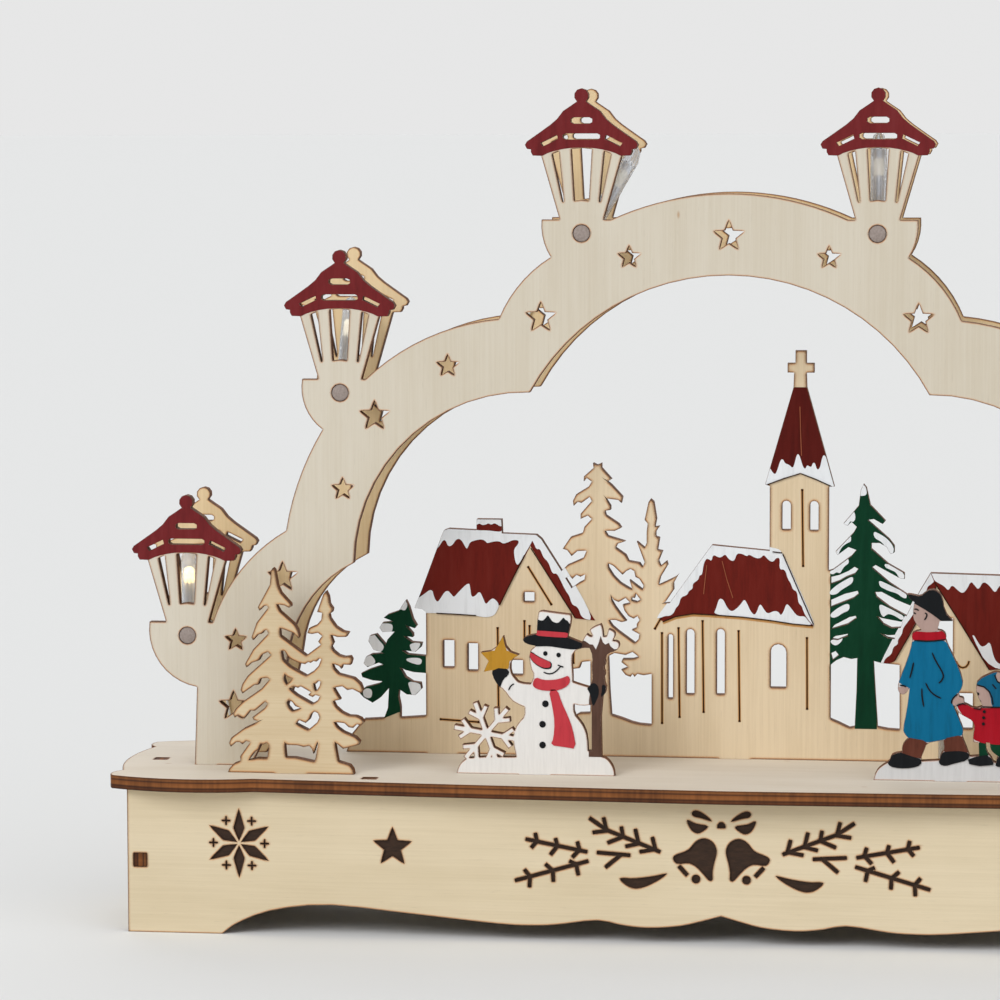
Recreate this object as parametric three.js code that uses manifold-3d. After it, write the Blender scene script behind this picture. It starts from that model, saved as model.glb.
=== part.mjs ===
// A lit candle arch in thin plywood: two curved arch panels with six lanterns, a village scene
// behind them, free-standing figures in front, and a hollow box base with the battery case inside.
// Millimetres, +Z up, +X to the viewer's right, +Y away from the viewer. The origin is on the
// table, under the middle of the base.
import * as THREE from 'three';
import { mergeVertices } from 'three/addons/utils/BufferGeometryUtils.js';
import Module from 'manifold-3d';

const wasm = await Module();
wasm.setup();

// Driving dimensions.
const baseLength = 450.4;
const baseDepth = 78;
const baseHeight = 55.2;
const basePly = 5;
const platePly = 5;
const panelPly = 4;
const archSpacing = 32.7;
const archFrontY = -12.4;
const villageY = 25.1;
const treesY = -29.4;
const snowmanY = -21.1;
const strollersY = -18.2;
const dowelDiameter = 6.3;
const lampDiameter = 6.2;
const lampLength = 34.4;
const kerf = 0.15;
const cellDiameter = 10.5;
const cellLength = 44.5;
const caseWall = 2.4;
const switchTravel = 3;

// Derived sizes.
const halfLength = baseLength / 2;
const halfDepth = baseDepth / 2;
const plateTop = baseHeight + platePly;
const archBackY = archFrontY + archSpacing;
const lampRadius = lampDiameter / 2;
const dowelRadius = dowelDiameter / 2;
const tenonDrop = platePly - 0.3;
const seatGap = 0.3;

// Looks.
const birch = { color: 0xdcd2bd, roughness: 0.72, metalness: 0 };
const baseBirch = { color: 0xd8caae, roughness: 0.75, metalness: 0 };
const paleBirch = { color: 0xe2dcd0, roughness: 0.7, metalness: 0 };
const warmBirch = { color: 0xcfb98f, roughness: 0.75, metalness: 0 };
const snowPaint = { color: 0xdcdfe0, roughness: 0.8, metalness: 0 };
const bluePaint = { color: 0x1a75a0, roughness: 0.75, metalness: 0 };
const pegWood = { color: 0x968782, roughness: 0.7, metalness: 0 };
const clearPlastic = { color: 0xd9dde0, roughness: 0.1, metalness: 0 };
const warmLight = { color: 0xffc873, roughness: 0.35, metalness: 0 };
const wirePlastic = { color: 0xd8d8d2, roughness: 0.5, metalness: 0 };
const casePlastic = { color: 0x25262a, roughness: 0.55, metalness: 0 };
const switchPlastic = { color: 0xe4e4e0, roughness: 0.45, metalness: 0 };
const cellSleeve = { color: 0x3b6b45, roughness: 0.35, metalness: 0.2 };
const springSteel = { color: 0xb9bcc0, roughness: 0.3, metalness: 1 };
const screwZinc = { color: 0xc4bda6, roughness: 0.35, metalness: 1 };

// Outlines, as lists of points.

// Points on the circle through three points, from the first to the last, both included.
function arc(a, b, c, steps) {
  const d = 2 * (a[0] * (b[1] - c[1]) + b[0] * (c[1] - a[1]) + c[0] * (a[1] - b[1]));
  const sq = (p) => p[0] * p[0] + p[1] * p[1];
  const cx = (sq(a) * (b[1] - c[1]) + sq(b) * (c[1] - a[1]) + sq(c) * (a[1] - b[1])) / d;
  const cy = (sq(a) * (c[0] - b[0]) + sq(b) * (a[0] - c[0]) + sq(c) * (b[0] - a[0])) / d;
  const radius = Math.hypot(a[0] - cx, a[1] - cy);
  const start = Math.atan2(a[1] - cy, a[0] - cx);
  const turn = 2 * Math.PI;
  const sweep = (p) => (Math.atan2(p[1] - cy, p[0] - cx) - start + 2 * turn) % turn;
  const end = sweep(b) < sweep(c) ? sweep(c) : sweep(c) - turn;
  const points = [];
  for (let i = 0; i <= steps; i += 1) {
    const angle = start + (end * i) / steps;
    points.push([cx + radius * Math.cos(angle), cy + radius * Math.sin(angle)]);
  }
  return points;
}

function mirrored(points) {
  return points.map(([x, z]) => [-x, z]).reverse();
}

function moved(points, dx, dz) {
  return points.map(([x, z]) => [x + dx, z + dz]);
}

// The left half runs from the middle top to the middle bottom; the right half mirrors it.
function bothHalves(left) {
  const right = mirrored(left).filter(([x]) => x > 1e-6);
  return [...left, ...right];
}

function rectangle(x0, z0, x1, z1) {
  return [[x0, z0], [x1, z0], [x1, z1], [x0, z1]];
}

// A window with a round head.
function roundHead(x0, z0, x1, z1, steps = 6) {
  const r = (x1 - x0) / 2;
  const top = arc([x1, z1 - r], [(x0 + x1) / 2, z1], [x0, z1 - r], steps);
  return [[x0, z0], [x1, z0], ...top];
}

// A slot with two round ends.
function roundSlot(x0, z0, x1, z1, steps = 3) {
  const r = (z1 - z0) / 2;
  const middle = (z0 + z1) / 2;
  const right = arc([x1 - r, z0], [x1, middle], [x1 - r, z1], steps);
  const left = arc([x0 + r, z1], [x0, middle], [x0 + r, z0], steps);
  return [...right, ...left];
}

function disc(cx, cz, radius, steps = 16) {
  const points = [];
  for (let i = 0; i < steps; i += 1) {
    const angle = (2 * Math.PI * i) / steps;
    points.push([cx + radius * Math.cos(angle), cz + radius * Math.sin(angle)]);
  }
  return points;
}

const starWaist = 0.42;

function star(cx, cz, radius) {
  const points = [];
  for (let i = 0; i < 10; i += 1) {
    const r = i % 2 === 0 ? radius : radius * starWaist;
    const angle = Math.PI / 2 + (Math.PI * i) / 5;
    points.push([cx + r * Math.cos(angle), cz + r * Math.sin(angle)]);
  }
  return points;
}

// A smooth closed line through the points.
function rounded(points, steps) {
  const places = points.map(([x, z]) => new THREE.Vector3(x, z, 0));
  const line = new THREE.CatmullRomCurve3(places, true, 'centripetal');
  return line.getPoints(steps).slice(0, -1).map((p) => [p.x, p.y]);
}

// The same closed outline with its blunt corners rounded off. Corners sharper than the limit and
// the ends of straight runs on the plate stay as they are.
const bluntTurn = 1.1;
const cornerShare = 0.3;

function softened(points) {
  const result = [];
  points.forEach((p, i) => {
    const before = points[(i + points.length - 1) % points.length];
    const after = points[(i + 1) % points.length];
    const inAngle = Math.atan2(p[1] - before[1], p[0] - before[0]);
    const outAngle = Math.atan2(after[1] - p[1], after[0] - p[0]);
    const turn = Math.abs(Math.atan2(Math.sin(outAngle - inAngle), Math.cos(outAngle - inAngle)));
    if (turn > bluntTurn || p[1] <= 0) {
      result.push(p);
      return;
    }
    const toward = (q) => [
      p[0] + (q[0] - p[0]) * cornerShare, p[1] + (q[1] - p[1]) * cornerShare,
    ];
    result.push(toward(before), toward(after));
  });
  return result;
}

// A straight cut of one width between two points.
function stroke([x0, z0], [x1, z1], width) {
  const length = Math.hypot(x1 - x0, z1 - z0);
  const nx = (-(z1 - z0) / length) * (width / 2);
  const nz = ((x1 - x0) / length) * (width / 2);
  return [[x0 + nx, z0 + nz], [x1 + nx, z1 + nz], [x1 - nx, z1 - nz], [x0 - nx, z0 - nz]];
}

// Solids from outlines.
function toShape(points) {
  return new THREE.Shape(points.map(([x, z]) => new THREE.Vector2(x, z)));
}

function slab(points, thickness) {
  return new THREE.ExtrudeGeometry(toShape(points), { depth: thickness, bevelEnabled: false });
}

// A solid with its outline in X and Z and its front face at frontY.
function upright(points, thickness, frontY) {
  const geometry = slab(points, thickness);
  geometry.rotateX(Math.PI / 2);
  geometry.translate(0, frontY + thickness, 0);
  return geometry;
}

// A solid with its outline in X and Y and its underside at bottomZ.
function flat(points, thickness, bottomZ) {
  const geometry = slab(points, thickness);
  geometry.translate(0, 0, bottomZ);
  return geometry;
}

// A panel cut from a sheet that stands up, with holes through it.
function sheet(points, holes, thickness, frontY) {
  const tools = holes.map((hole) => upright(hole, thickness + 2, frontY - 1));
  return cut(upright(points, thickness, frontY), tools);
}

// A board that lies flat, with holes through it.
function plate(points, holes, thickness, bottomZ) {
  const tools = holes.map((hole) => flat(hole, thickness + 2, bottomZ - 1));
  return cut(flat(points, thickness, bottomZ), tools);
}

function block(x0, x1, y0, y1, z0, z1) {
  const geometry = new THREE.BoxGeometry(x1 - x0, y1 - y0, z1 - z0);
  geometry.translate((x0 + x1) / 2, (y0 + y1) / 2, (z0 + z1) / 2);
  return geometry;
}

function toSolid(geometry) {
  const bare = new THREE.BufferGeometry();
  const loose = geometry.index ? geometry.toNonIndexed() : geometry;
  bare.setAttribute('position', loose.getAttribute('position'));
  const merged = mergeVertices(bare, 1e-4);
  return new wasm.Manifold(
    new wasm.Mesh({
      numProp: 3,
      vertProperties: merged.attributes.position.array,
      triVerts: new Uint32Array(merged.index.array),
    }),
  );
}

function toGeometry(solid) {
  const mesh = solid.getMesh();
  const positions = new Float32Array(mesh.triVerts.length * 3);
  for (let i = 0; i < mesh.triVerts.length; i += 1) {
    for (let k = 0; k < 3; k += 1) {
      positions[3 * i + k] = mesh.vertProperties[mesh.triVerts[i] * mesh.numProp + k];
    }
  }
  const geometry = new THREE.BufferGeometry();
  geometry.setAttribute('position', new THREE.BufferAttribute(positions, 3));
  geometry.computeVertexNormals();
  return geometry;
}

function joined(geometries) {
  return toGeometry(geometries.map(toSolid).reduce((all, next) => all.add(next)));
}

function cut(geometry, tools) {
  const start = toSolid(geometry);
  return toGeometry(tools.map(toSolid).reduce((left, tool) => left.subtract(tool), start));
}

const object = new THREE.Group();

function addPart(name, geometry, look, parent = object) {
  const mesh = new THREE.Mesh(geometry, new THREE.MeshStandardMaterial(look));
  mesh.name = name;
  parent.add(mesh);
  return mesh;
}

// The base box. The long panels stand on two feet at their ends. Between the feet the lower edge
// waves up.
const footInner = halfLength - 36.3;
const lowerWave = [
  [-footInner, 0], [-182.7, 4.5], [-169.2, 9.6], [-148.1, 12], [-117.7, 9.5], [-83.6, 6.4],
  [-70, 6.1], [-60.9, 6.7], [-46.6, 8.6], [-36.5, 6.9], [-27, 6.2], [-15.9, 7.1], [-8.5, 8.8],
  [0, 11.2],
];

const sideX = halfLength - 2.4;
const sideTenonZ = [25.2, 30.2];
const topTenonX = [130, 135.2];
const sideTopTenon = 2.7;
const sideHollow = [22, 7];

function longPanelOutline() {
  const wave = new THREE.SplineCurve(lowerWave.map(([x, z]) => new THREE.Vector2(x, z)));
  const lower = wave.getPoints(34).map((p) => [p.x, p.y]);
  const tip = baseHeight + tenonDrop;
  const [t0, t1] = topTenonX;
  const left = [
    [-t0, baseHeight], [-t0, tip], [-t1, tip], [-t1, baseHeight],
    [-halfLength, baseHeight], [-halfLength, 0], ...lower,
  ];
  return bothHalves(left);
}

// Mortises that take the tenons of the two side panels.
function sideMortises() {
  const [z0, z1] = sideTenonZ;
  const hole = rectangle(-sideX - kerf, z0 - kerf, -sideX + basePly + kerf, z1 + kerf);
  return [hole, mirrored(hole)];
}

const flakeCentre = [-182.2, 34.9];
const flakeArms = 6;
const flakeReach = 13.3;
const flakeWaist = [2.1, 5.8];
const flakeHub = 0.7;
const plusDistance = 9.8;
const plusReach = 1.7;
const plusWidth = 0.65;
const engraveDepth = 0.8;

function flakePetals() {
  const petals = [];
  for (let i = 0; i < flakeArms; i += 1) {
    const angle = (2 * Math.PI * i) / flakeArms;
    const turn = ([x, z]) => [
      flakeCentre[0] + x * Math.cos(angle) - z * Math.sin(angle),
      flakeCentre[1] + x * Math.sin(angle) + z * Math.cos(angle),
    ];
    const [w, h] = flakeWaist;
    petals.push([[0, flakeHub], [w, h], [0, flakeReach], [-w, h]].map(turn));
  }
  return petals;
}

// A small plus sign between each two petals.
function flakePluses() {
  const strokes = [];
  for (let i = 0; i < flakeArms; i += 1) {
    const angle = (2 * Math.PI * i) / flakeArms;
    const x = flakeCentre[0] + plusDistance * Math.cos(angle);
    const z = flakeCentre[1] + plusDistance * Math.sin(angle);
    strokes.push(stroke([x - plusReach, z], [x + plusReach, z], plusWidth));
    strokes.push(stroke([x, z - plusReach], [x, z + plusReach], plusWidth));
  }
  return strokes;
}

// Fir twigs engraved as straight strokes: each row is one stroke from point to point.
const twigWidth = 1.4;
const twigs = [
  [[-73.3, 38.8], [-50, 34.4]],
  [[-71.1, 35.5], [-69, 38.1]],
  [[-69.6, 41.2], [-69, 38.1]],
  [[-63.9, 33], [-61.3, 36.4]],
  [[-62, 39.4], [-61.3, 36.4]],
  [[-55.7, 32.2], [-53, 35.2]],
  [[-53.8, 38.3], [-53, 35.2]],
  [[-77.3, 23], [-49.6, 31]],
  [[-73.7, 27.3], [-71.6, 24.6]],
  [[-71.8, 20.5], [-71.6, 24.6]],
  [[-65.8, 29.5], [-63, 27]],
  [[-62.8, 22.8], [-63, 27]],
  [[-56.8, 30.9], [-54.2, 29.6]],
  [[-53.4, 25.5], [-54.2, 29.6]],
  [[-49.3, 47.3], [-42.7, 42.8]],
  [[-43.4, 43.1], [-22.7, 35]],
  [[-44, 47.6], [-42.9, 42.9]],
  [[-48.1, 41.8], [-42.5, 42.6]],
  [[-37.3, 44.3], [-36.7, 40.4]],
  [[-42.5, 38], [-36.7, 40.4]],
  [[-32.1, 43.5], [-30.9, 38.2]],
  [[-35.8, 36.8], [-30.7, 38]],
  [[-25.7, 40.6], [-24.6, 36]],
  [[-30.5, 34.9], [-24.4, 36]],
  [[-46.5, 34.3], [-33.9, 33.5]],
  [[-37.6, 33.5], [-43.3, 28.7]],
];

const leaf = [
  [-38, 24.7], [-32.8, 24.8], [-27.2, 25.5], [-23.1, 26.3], [-20.1, 27], [-22.5, 25],
  [-25.3, 23.3], [-28.7, 21.7], [-32, 21], [-35, 21.9],
];
const bell = [
  [-18, 32.9], [-17, 34], [-12.3, 36], [-9.4, 39.3], [-6.5, 40.5], [-3.3, 39.2], [-1.7, 35.9],
  [-2.7, 31.2], [-3.3, 27.6], [-3.3, 24.9], [-4.2, 24.5], [-6.7, 27.1], [-9.3, 29.7],
  [-12, 31], [-16.7, 30.8],
];
const clapperCentre = [-9.4, 25.1];
const clapperRadius = 1.6;
const clapperStem = [[-15.8, 29.9], [-12.6, 26.4]];
const bowUpper = [[-11, 50], [-9.7, 50.9], [-7.1, 50], [-3.4, 46.9], [-7.5, 48.1], [-10.4, 48.8]];
const bowLower = [[-12.8, 47.3], [-9.7, 46], [-5, 45], [-6.7, 43.3], [-8.9, 42.3], [-11.2, 43.6]];
const bowKnot = [[-1.6, 44.4], [1.6, 44.4], [1.5, 45.6], [0.6, 46.7], [-0.6, 46.7], [-1.5, 45.6]];
const frontStar = [-123.6, 34.6, 7.8];

// The decoration is burnt into the front panel's face and doesn't go through it.
function frontPanel() {
  const half = [
    ...flakePetals(), ...flakePluses(), rounded(leaf, 24), rounded(bell, 44),
    rounded(bowUpper, 18), rounded(bowLower, 18), star(...frontStar),
    disc(clapperCentre[0], clapperCentre[1], clapperRadius, 16), stroke(...clapperStem, 1.5),
  ];
  half.push(...twigs.map(([a, b]) => stroke(a, b, twigWidth)));
  const engraved = [...half, ...half.map(mirrored), bowKnot];
  const tools = engraved.map((outline) => upright(outline, engraveDepth + 1, -halfDepth - 1));
  return cut(sheet(longPanelOutline(), sideMortises(), basePly, -halfDepth), tools);
}

addPart('base_front_panel', frontPanel(), baseBirch);
addPart(
  'base_back_panel',
  sheet(longPanelOutline(), sideMortises(), basePly, halfDepth - basePly),
  baseBirch,
);

// The side panels reach from the front panel to the back one and tenon into both and the plate.
function sidePanel() {
  const inner = halfDepth - basePly;
  const tip = halfDepth - seatGap;
  const [z0, z1] = sideTenonZ;
  const top = baseHeight + tenonDrop;
  const [reach, rise] = sideHollow;
  const hollow = arc([-reach, 0], [0, rise], [reach, 0], 10);
  const outline = [
    [-inner, 0], ...hollow, [inner, 0], [inner, z0], [tip, z0], [tip, z1], [inner, z1],
    [inner, baseHeight], [sideTopTenon, baseHeight], [sideTopTenon, top],
    [-sideTopTenon, top], [-sideTopTenon, baseHeight], [-inner, baseHeight],
    [-inner, z1], [-tip, z1], [-tip, z0], [-inner, z0],
  ];
  const geometry = sheet(outline, [], basePly, 0);
  geometry.rotateZ(Math.PI / 2);
  return geometry;
}

const leftSide = addPart('base_side_left', sidePanel(), baseBirch);
leftSide.position.x = -sideX + basePly;
const rightSide = addPart('base_side_right', sidePanel(), baseBirch);
rightSide.position.x = sideX;

// The battery case hangs under the plate, open below. The cells lie along X, side by side.
const cellCount = 3;
const cellPitch = cellDiameter + 0.7;
const cellGap = 0.3;
const contactThickness = 0.5;
const coverThickness = 1.5;
const lip = 1.6;
const bayLength = 8.4;
const roomLength = cellLength + 2 * (contactThickness + 2 * cellGap) - cellGap + 0.1;
const roomHalfWidth = (cellCount * cellPitch) / 2 + 0.05;
const caseRoof = baseHeight - caseWall;
const cellZ = caseRoof - cellGap - cellDiameter / 2;
const coverTop = cellZ - cellDiameter / 2 - cellGap;
const coverBottom = coverTop - coverThickness;
const caseBottom = coverBottom - cellGap - lip;
const caseLeft = -35;
const roomLeft = caseLeft + caseWall;
const roomRight = roomLeft + roomLength;
const bayLeft = roomRight + caseWall;
const bayRight = bayLeft + bayLength;
const caseRight = bayRight + caseWall;
const caseHalfWidth = roomHalfWidth + caseWall;
const groove = 1.2;
const bayFloor = caseBottom + caseWall;
const knobX = (bayLeft + bayRight) / 2;
const slotHalfX = 2.3;
const slotY = [-4.3, 4.3];

// Two lugs on each end of the case take its screws.
const lugHalfWidth = 9;
const lugReach = 3;
const screwX = [caseLeft - 3, caseRight + 3.3];
const screwY = 5;
const caseScrews = screwX.flatMap((x) => [[x, -screwY], [x, screwY]]);

// The top plate. The wavy edge is drawn from the front middle round to the left middle.
const plateOverhang = 7.8;
const plateEndX = halfLength + plateOverhang;
const frontWave = 11.4;

function plateOutline() {
  const edge = -halfDepth;
  const quarter = [
    ...arc([0, edge - frontWave], [-88, edge - 8.6], [-176, edge - 4.4], 8),
    ...arc([-176, edge - 4.4], [-205, edge - 8.4], [-plateEndX + 2.4, edge - 1.8], 8).slice(1),
    ...arc([-plateEndX + 2.4, edge - 1.8], [-plateEndX + 1.2, -34], [-plateEndX + 4, -28.6], 4).slice(1),
    ...arc([-plateEndX + 4, -28.6], [-plateEndX + 1, -14.5], [-plateEndX, 0], 5).slice(1),
  ];
  const left = [...quarter, ...quarter.map(([x, y]) => [x, -y]).reverse().slice(1)];
  return bothHalves(left);
}

function slotFor(x0, x1, y0, y1) {
  return rectangle(x0 - kerf, y0 - kerf, x1 + kerf, y1 + kerf);
}

const archTenonX = [195.8, 204];
const villageTenons = [[-120, -108], [-6, 6], [108, 120]];
const treesMiddleX = halfLength - 61.2;
const treesTenon = 6;
const snowmanTenonX = [-78, -66];
const strollersTenonX = [78, 90];
const wireHole = [192, archBackY - 2.9, 2.6];
const plateLampX = [-70, 82];
const leadHole = 1.4;
const lampY = archFrontY + panelPly + 0.9 + lampRadius;
const screwBore = 1.4;

// A round hole up into the plate or through a lug of the case, for one screw.
function boreAt([x, y], middleZ) {
  const bore = new THREE.CylinderGeometry(screwBore, screwBore, 6, 8);
  bore.rotateX(Math.PI / 2);
  bore.translate(x, y, middleZ);
  return bore;
}

function plateHoles() {
  const back = halfDepth - basePly;
  const holes = [];
  for (const y of [-halfDepth, back]) {
    holes.push(slotFor(topTenonX[0], topTenonX[1], y, y + basePly));
  }
  holes.push(slotFor(sideX - basePly, sideX, -sideTopTenon, sideTopTenon));
  for (const y of [archFrontY, archBackY]) {
    holes.push(slotFor(archTenonX[0], archTenonX[1], y, y + panelPly));
  }
  const [treesStart, treesEnd] = [treesMiddleX - treesTenon, treesMiddleX + treesTenon];
  holes.push(slotFor(treesStart, treesEnd, treesY, treesY + panelPly));
  holes.push(disc(...wireHole, 10));
  const left = holes.map(mirrored);
  for (const [x0, x1] of villageTenons) {
    holes.push(slotFor(x0, x1, villageY, villageY + panelPly));
  }
  holes.push(slotFor(...snowmanTenonX, snowmanY, snowmanY + panelPly));
  holes.push(slotFor(...strollersTenonX, strollersY, strollersY + panelPly));
  for (const x of plateLampX) {
    holes.push(disc(x, lampY, leadHole, 8));
  }
  return [...holes, ...left];
}

function topPlate() {
  const bores = caseScrews.map((place) => boreAt(place, baseHeight + 1.1));
  return cut(plate(plateOutline(), plateHoles(), platePly, baseHeight), bores);
}

addPart('top_plate', topPlate(), paleBirch);

// The arch panels. Heights from here on are above the plate.
const lanternPlaces = [[-207, 54.9], [-147.2, 148.4], [-55.2, 208.8]];
const dowelDrop = 5.1;
const dowelSides = 12;

// Half of a lantern, from the foot of its body up to the knob, about its own centre line.
const lanternLeft = [
  [-8.2, 0], [-15.1, 23.8], [-18.3, 23.9], [-19, 25.2], [-19, 26.2], [-20.5, 26.4],
  [-21.3, 27.9], [-20.5, 29.2], [-18.6, 30.5], [-14.9, 33.1], [-11.8, 35.3], [-9.2, 37.5],
  [-6.9, 40.5], [-3.6, 42.7], [-1.7, 44],
];
const knob = { height: 46.1, radius: 2.8 };

function lanternOutline(cx, cz) {
  const top = arc([-1.7, 44], [0, knob.height + knob.radius], [1.7, 44], 8).slice(1, -1);
  return moved([...lanternLeft, ...top, ...mirrored(lanternLeft)], cx, cz);
}

function lanternHoles(cx, cz) {
  const slit = [[-11.1, 24.5], [-7.2, 6.6], [-6.6, 6.6], [-8.5, 25.6]];
  const louvre = [[-15.4, 28.6], [-14.5, 27.3], [-8.8, 30.1], [-9.2, 31.6]];
  const door = [[-2.8, 7], [0, 7.4], [2.8, 7], [3.9, 26.3], [0, 26.7], [-3.9, 26.3]];
  const holes = [
    slit, mirrored(slit), louvre, mirrored(louvre), door,
    roundSlot(-4.2, 35.8, 4.2, 38.1), roundSlot(-7.1, 29.9, 7.1, 32.1),
  ];
  return holes.map((points) => moved(points, cx, cz));
}

const bigStar = 6.1;
const smallStar = 4.6;
const starPlaces = [
  [-37.3, 194.8, smallStar], [-70.6, 172.1, bigStar], [-106, 153.7, smallStar],
  [-134, 134.6, bigStar], [-146.4, 106.7, smallStar], [-169.8, 72.8, bigStar],
  [-188.2, 48.3, smallStar], [-189.2, 22.9, bigStar],
];
const middleStar = [0, 202.7, bigStar];

function archOutline() {
  const [low, mid, high] = lanternPlaces;
  const rightToLeft = (place) => lanternOutline(...place).reverse();
  const left = [
    ...arc([0, 218.6], [-25.1, 215.5], [high[0] + 11, high[1]], 10),
    ...rightToLeft(high),
    ...arc([-70.2, high[1]], [-69.6, 201.2], [-66.8, 194.8], 5),
    ...arc([-66.8, 194.8], [-79.7, 183.2], [-86.5, 171.5], 7).slice(1),
    ...arc([-86.5, 171.5], [-115.8, 163.4], [mid[0] + 9.7, mid[1]], 10).slice(1),
    ...rightToLeft(mid),
    ...arc([mid[0] - 14.5, mid[1]], [-160.1, 136.7], [-154, 129.3], 8),
    ...arc([-154, 129.3], [-161, 115.7], [-168.3, 90.6], 7).slice(1),
    ...arc([-168.3, 90.6], [-185.7, 75.7], [low[0] + 9.9, low[1]], 10).slice(1),
    ...rightToLeft(low),
    ...arc([low[0] - 14.7, low[1]], [-218.9, 40.7], [-203.4, 30], 10),
    [-204.5, 0], [-archTenonX[1], 0], [-archTenonX[1], -tenonDrop], [-archTenonX[0], -tenonDrop],
    [-archTenonX[0], 0], ...arc([-182.8, 0], [-172.5, 23.5], [-167.3, 46.7], 8),
    ...arc([-167.3, 46.7], [-159.4, 64.1], [-142.3, 78.5], 8).slice(1),
    ...arc([-142.3, 78.5], [-121.7, 125.6], [-74.8, 143.9], 13).slice(1),
    ...arc([-74.8, 143.9], [-47.6, 173.6], [0, 188.1], 12).slice(1),
  ];
  return bothHalves(left);
}

function archHoles() {
  const half = [];
  for (const [cx, cz] of lanternPlaces) {
    half.push(...lanternHoles(cx, cz));
    half.push(disc(cx, cz - dowelDrop, dowelRadius + kerf, dowelSides));
  }
  half.push(...starPlaces.map((place) => star(...place)));
  return [...half, ...half.map(mirrored), star(...middleStar)];
}

function archPanel(frontY) {
  const geometry = sheet(archOutline(), archHoles(), panelPly, frontY);
  geometry.translate(0, 0, plateTop);
  return geometry;
}

addPart('arch_front_panel', archPanel(archFrontY), birch);
addPart('arch_back_panel', archPanel(archBackY), warmBirch);

// The dowels and the lamps.
const allLanterns = [...lanternPlaces, ...mirrored(lanternPlaces)];

function dowel() {
  const length = archSpacing + panelPly - 0.4;
  const geometry = new THREE.CylinderGeometry(dowelRadius, dowelRadius, length, dowelSides);
  geometry.translate(0, length / 2, 0);
  return geometry;
}

allLanterns.forEach(([cx, cz], index) => {
  const mesh = addPart(`dowel_${index + 1}`, dowel(), pegWood);
  mesh.position.set(cx, archFrontY + 0.2, plateTop + cz - dowelDrop);
});

// A clear tube with a cut-glass tip, open below.
const tubeWall = 0.8;
const tipLength = 5;
const tipFlat = 1.4;
const tipRadius = lampRadius * 0.62;

function lampTube() {
  const inner = lampRadius - tubeWall;
  const shoulder = lampLength - tipLength;
  const profile = [
    [0, shoulder - 0.6], [inner, shoulder - 2], [inner, 0], [lampRadius, 0], [lampRadius, shoulder],
    [tipRadius, lampLength - tipFlat], [0, lampLength],
  ];
  const points = profile.map(([r, z]) => new THREE.Vector2(r, z));
  const geometry = new THREE.LatheGeometry(points, 8);
  geometry.rotateX(Math.PI / 2);
  return geometry;
}

// The light inside: a domed emitter on a thin stem that carries its two leads.
const bulbRadius = 1.9;
const bulbBase = 18;
const bulbDome = 24.5;

function lampLight() {
  const profile = [
    [0, 0.2], [0.8, 0.2], [0.8, bulbBase], [bulbRadius, bulbBase], [bulbRadius, bulbDome - 1.6],
    [1.2, bulbDome - 0.4], [0, bulbDome],
  ];
  const points = profile.map(([r, z]) => new THREE.Vector2(r, z));
  const geometry = new THREE.LatheGeometry(points, 8);
  geometry.rotateX(Math.PI / 2);
  return geometry;
}

function addLamp(number, x, y, z, leanBack, leanRight) {
  const holder = new THREE.Group();
  holder.position.set(x, y, z);
  holder.rotation.set(-leanBack, leanRight, 0);
  addPart(`lamp_tube_${number}`, lampTube(), clearPlastic, holder);
  addPart(`lamp_light_${number}`, lampLight(), warmLight, holder);
  object.add(holder);
}

const degree = Math.PI / 180;

// The lean at which the tip's edge comes to rest just clear of the rear panel.
function leanOnRearPanel() {
  const tipHeight = lampLength - tipFlat;
  const tipReach = (archBackY - lampY - seatGap) / Math.hypot(tipHeight, tipRadius);
  return (Math.asin(tipReach) - Math.atan2(tipRadius, tipHeight)) / degree;
}

// How far each lantern's lamp leans back and to the right, and how far it sits off centre.
const lampLeans = [
  [leanOnRearPanel(), -9, -0.5], [28, 0, 0.5], [0, 30, 3.2], [0, 0, 0], [0, 0, 0], [0, 0, 0],
];

// The foot of a lamp rests on its dowel with its end face, or with its rim where it leans back.
allLanterns.forEach(([cx, cz], index) => {
  const [back, right, aside] = lampLeans[index];
  const rim = Math.sin(back * degree) * lampRadius;
  const reach = dowelRadius + seatGap + rim - Math.sin(right * degree) * aside;
  const footZ = plateTop + cz - dowelDrop + reach / Math.cos(right * degree);
  addLamp(index + 1, cx + aside, lampY, footZ, back * degree, right * degree);
});

plateLampX.forEach((x, index) => {
  addLamp(allLanterns.length + index + 1, x, lampY, plateTop + seatGap, 0, 0);
});

// The village panel.
const groundLeft = [[-152, 0], [-149.5, 7.5], [-145, 13], [-137, 13.5]];
const edgeTree = [
  [-135.5, 17.5], [-135, 25.5], [-138.5, 21.5], [-141.5, 19.5], [-145, 21.5], [-146.5, 23],
  [-144.5, 25.5], [-139, 27], [-137.5, 28], [-141.5, 28.3], [-145.5, 29.5], [-146, 31],
  [-142.5, 32.7], [-137, 34.5], [-139, 35.3], [-143.5, 33.5], [-145, 35], [-144, 37.5],
  [-142, 38.6], [-136.5, 39], [-141, 40.3], [-143, 43.7], [-142.5, 45.8], [-140, 46.5],
  [-136.3, 42.3], [-135.5, 44.5], [-132.7, 47.6], [-137.5, 47.4], [-138.6, 49], [-137.5, 51],
  [-133, 51.5], [-137, 53], [-135.5, 54.2], [-131, 55.8], [-128.3, 60], [-127, 57.5],
  [-125.5, 52.5], [-124, 50], [-124.8, 49], [-128.4, 50.2], [-125.5, 46.8], [-125.5, 45.5],
  [-129.2, 46], [-126, 43.6], [-122, 43.3], [-122.5, 41.5], [-124.5, 39.8], [-130, 40.4],
  [-127.5, 38.8], [-120.3, 38.2],
];
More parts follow.
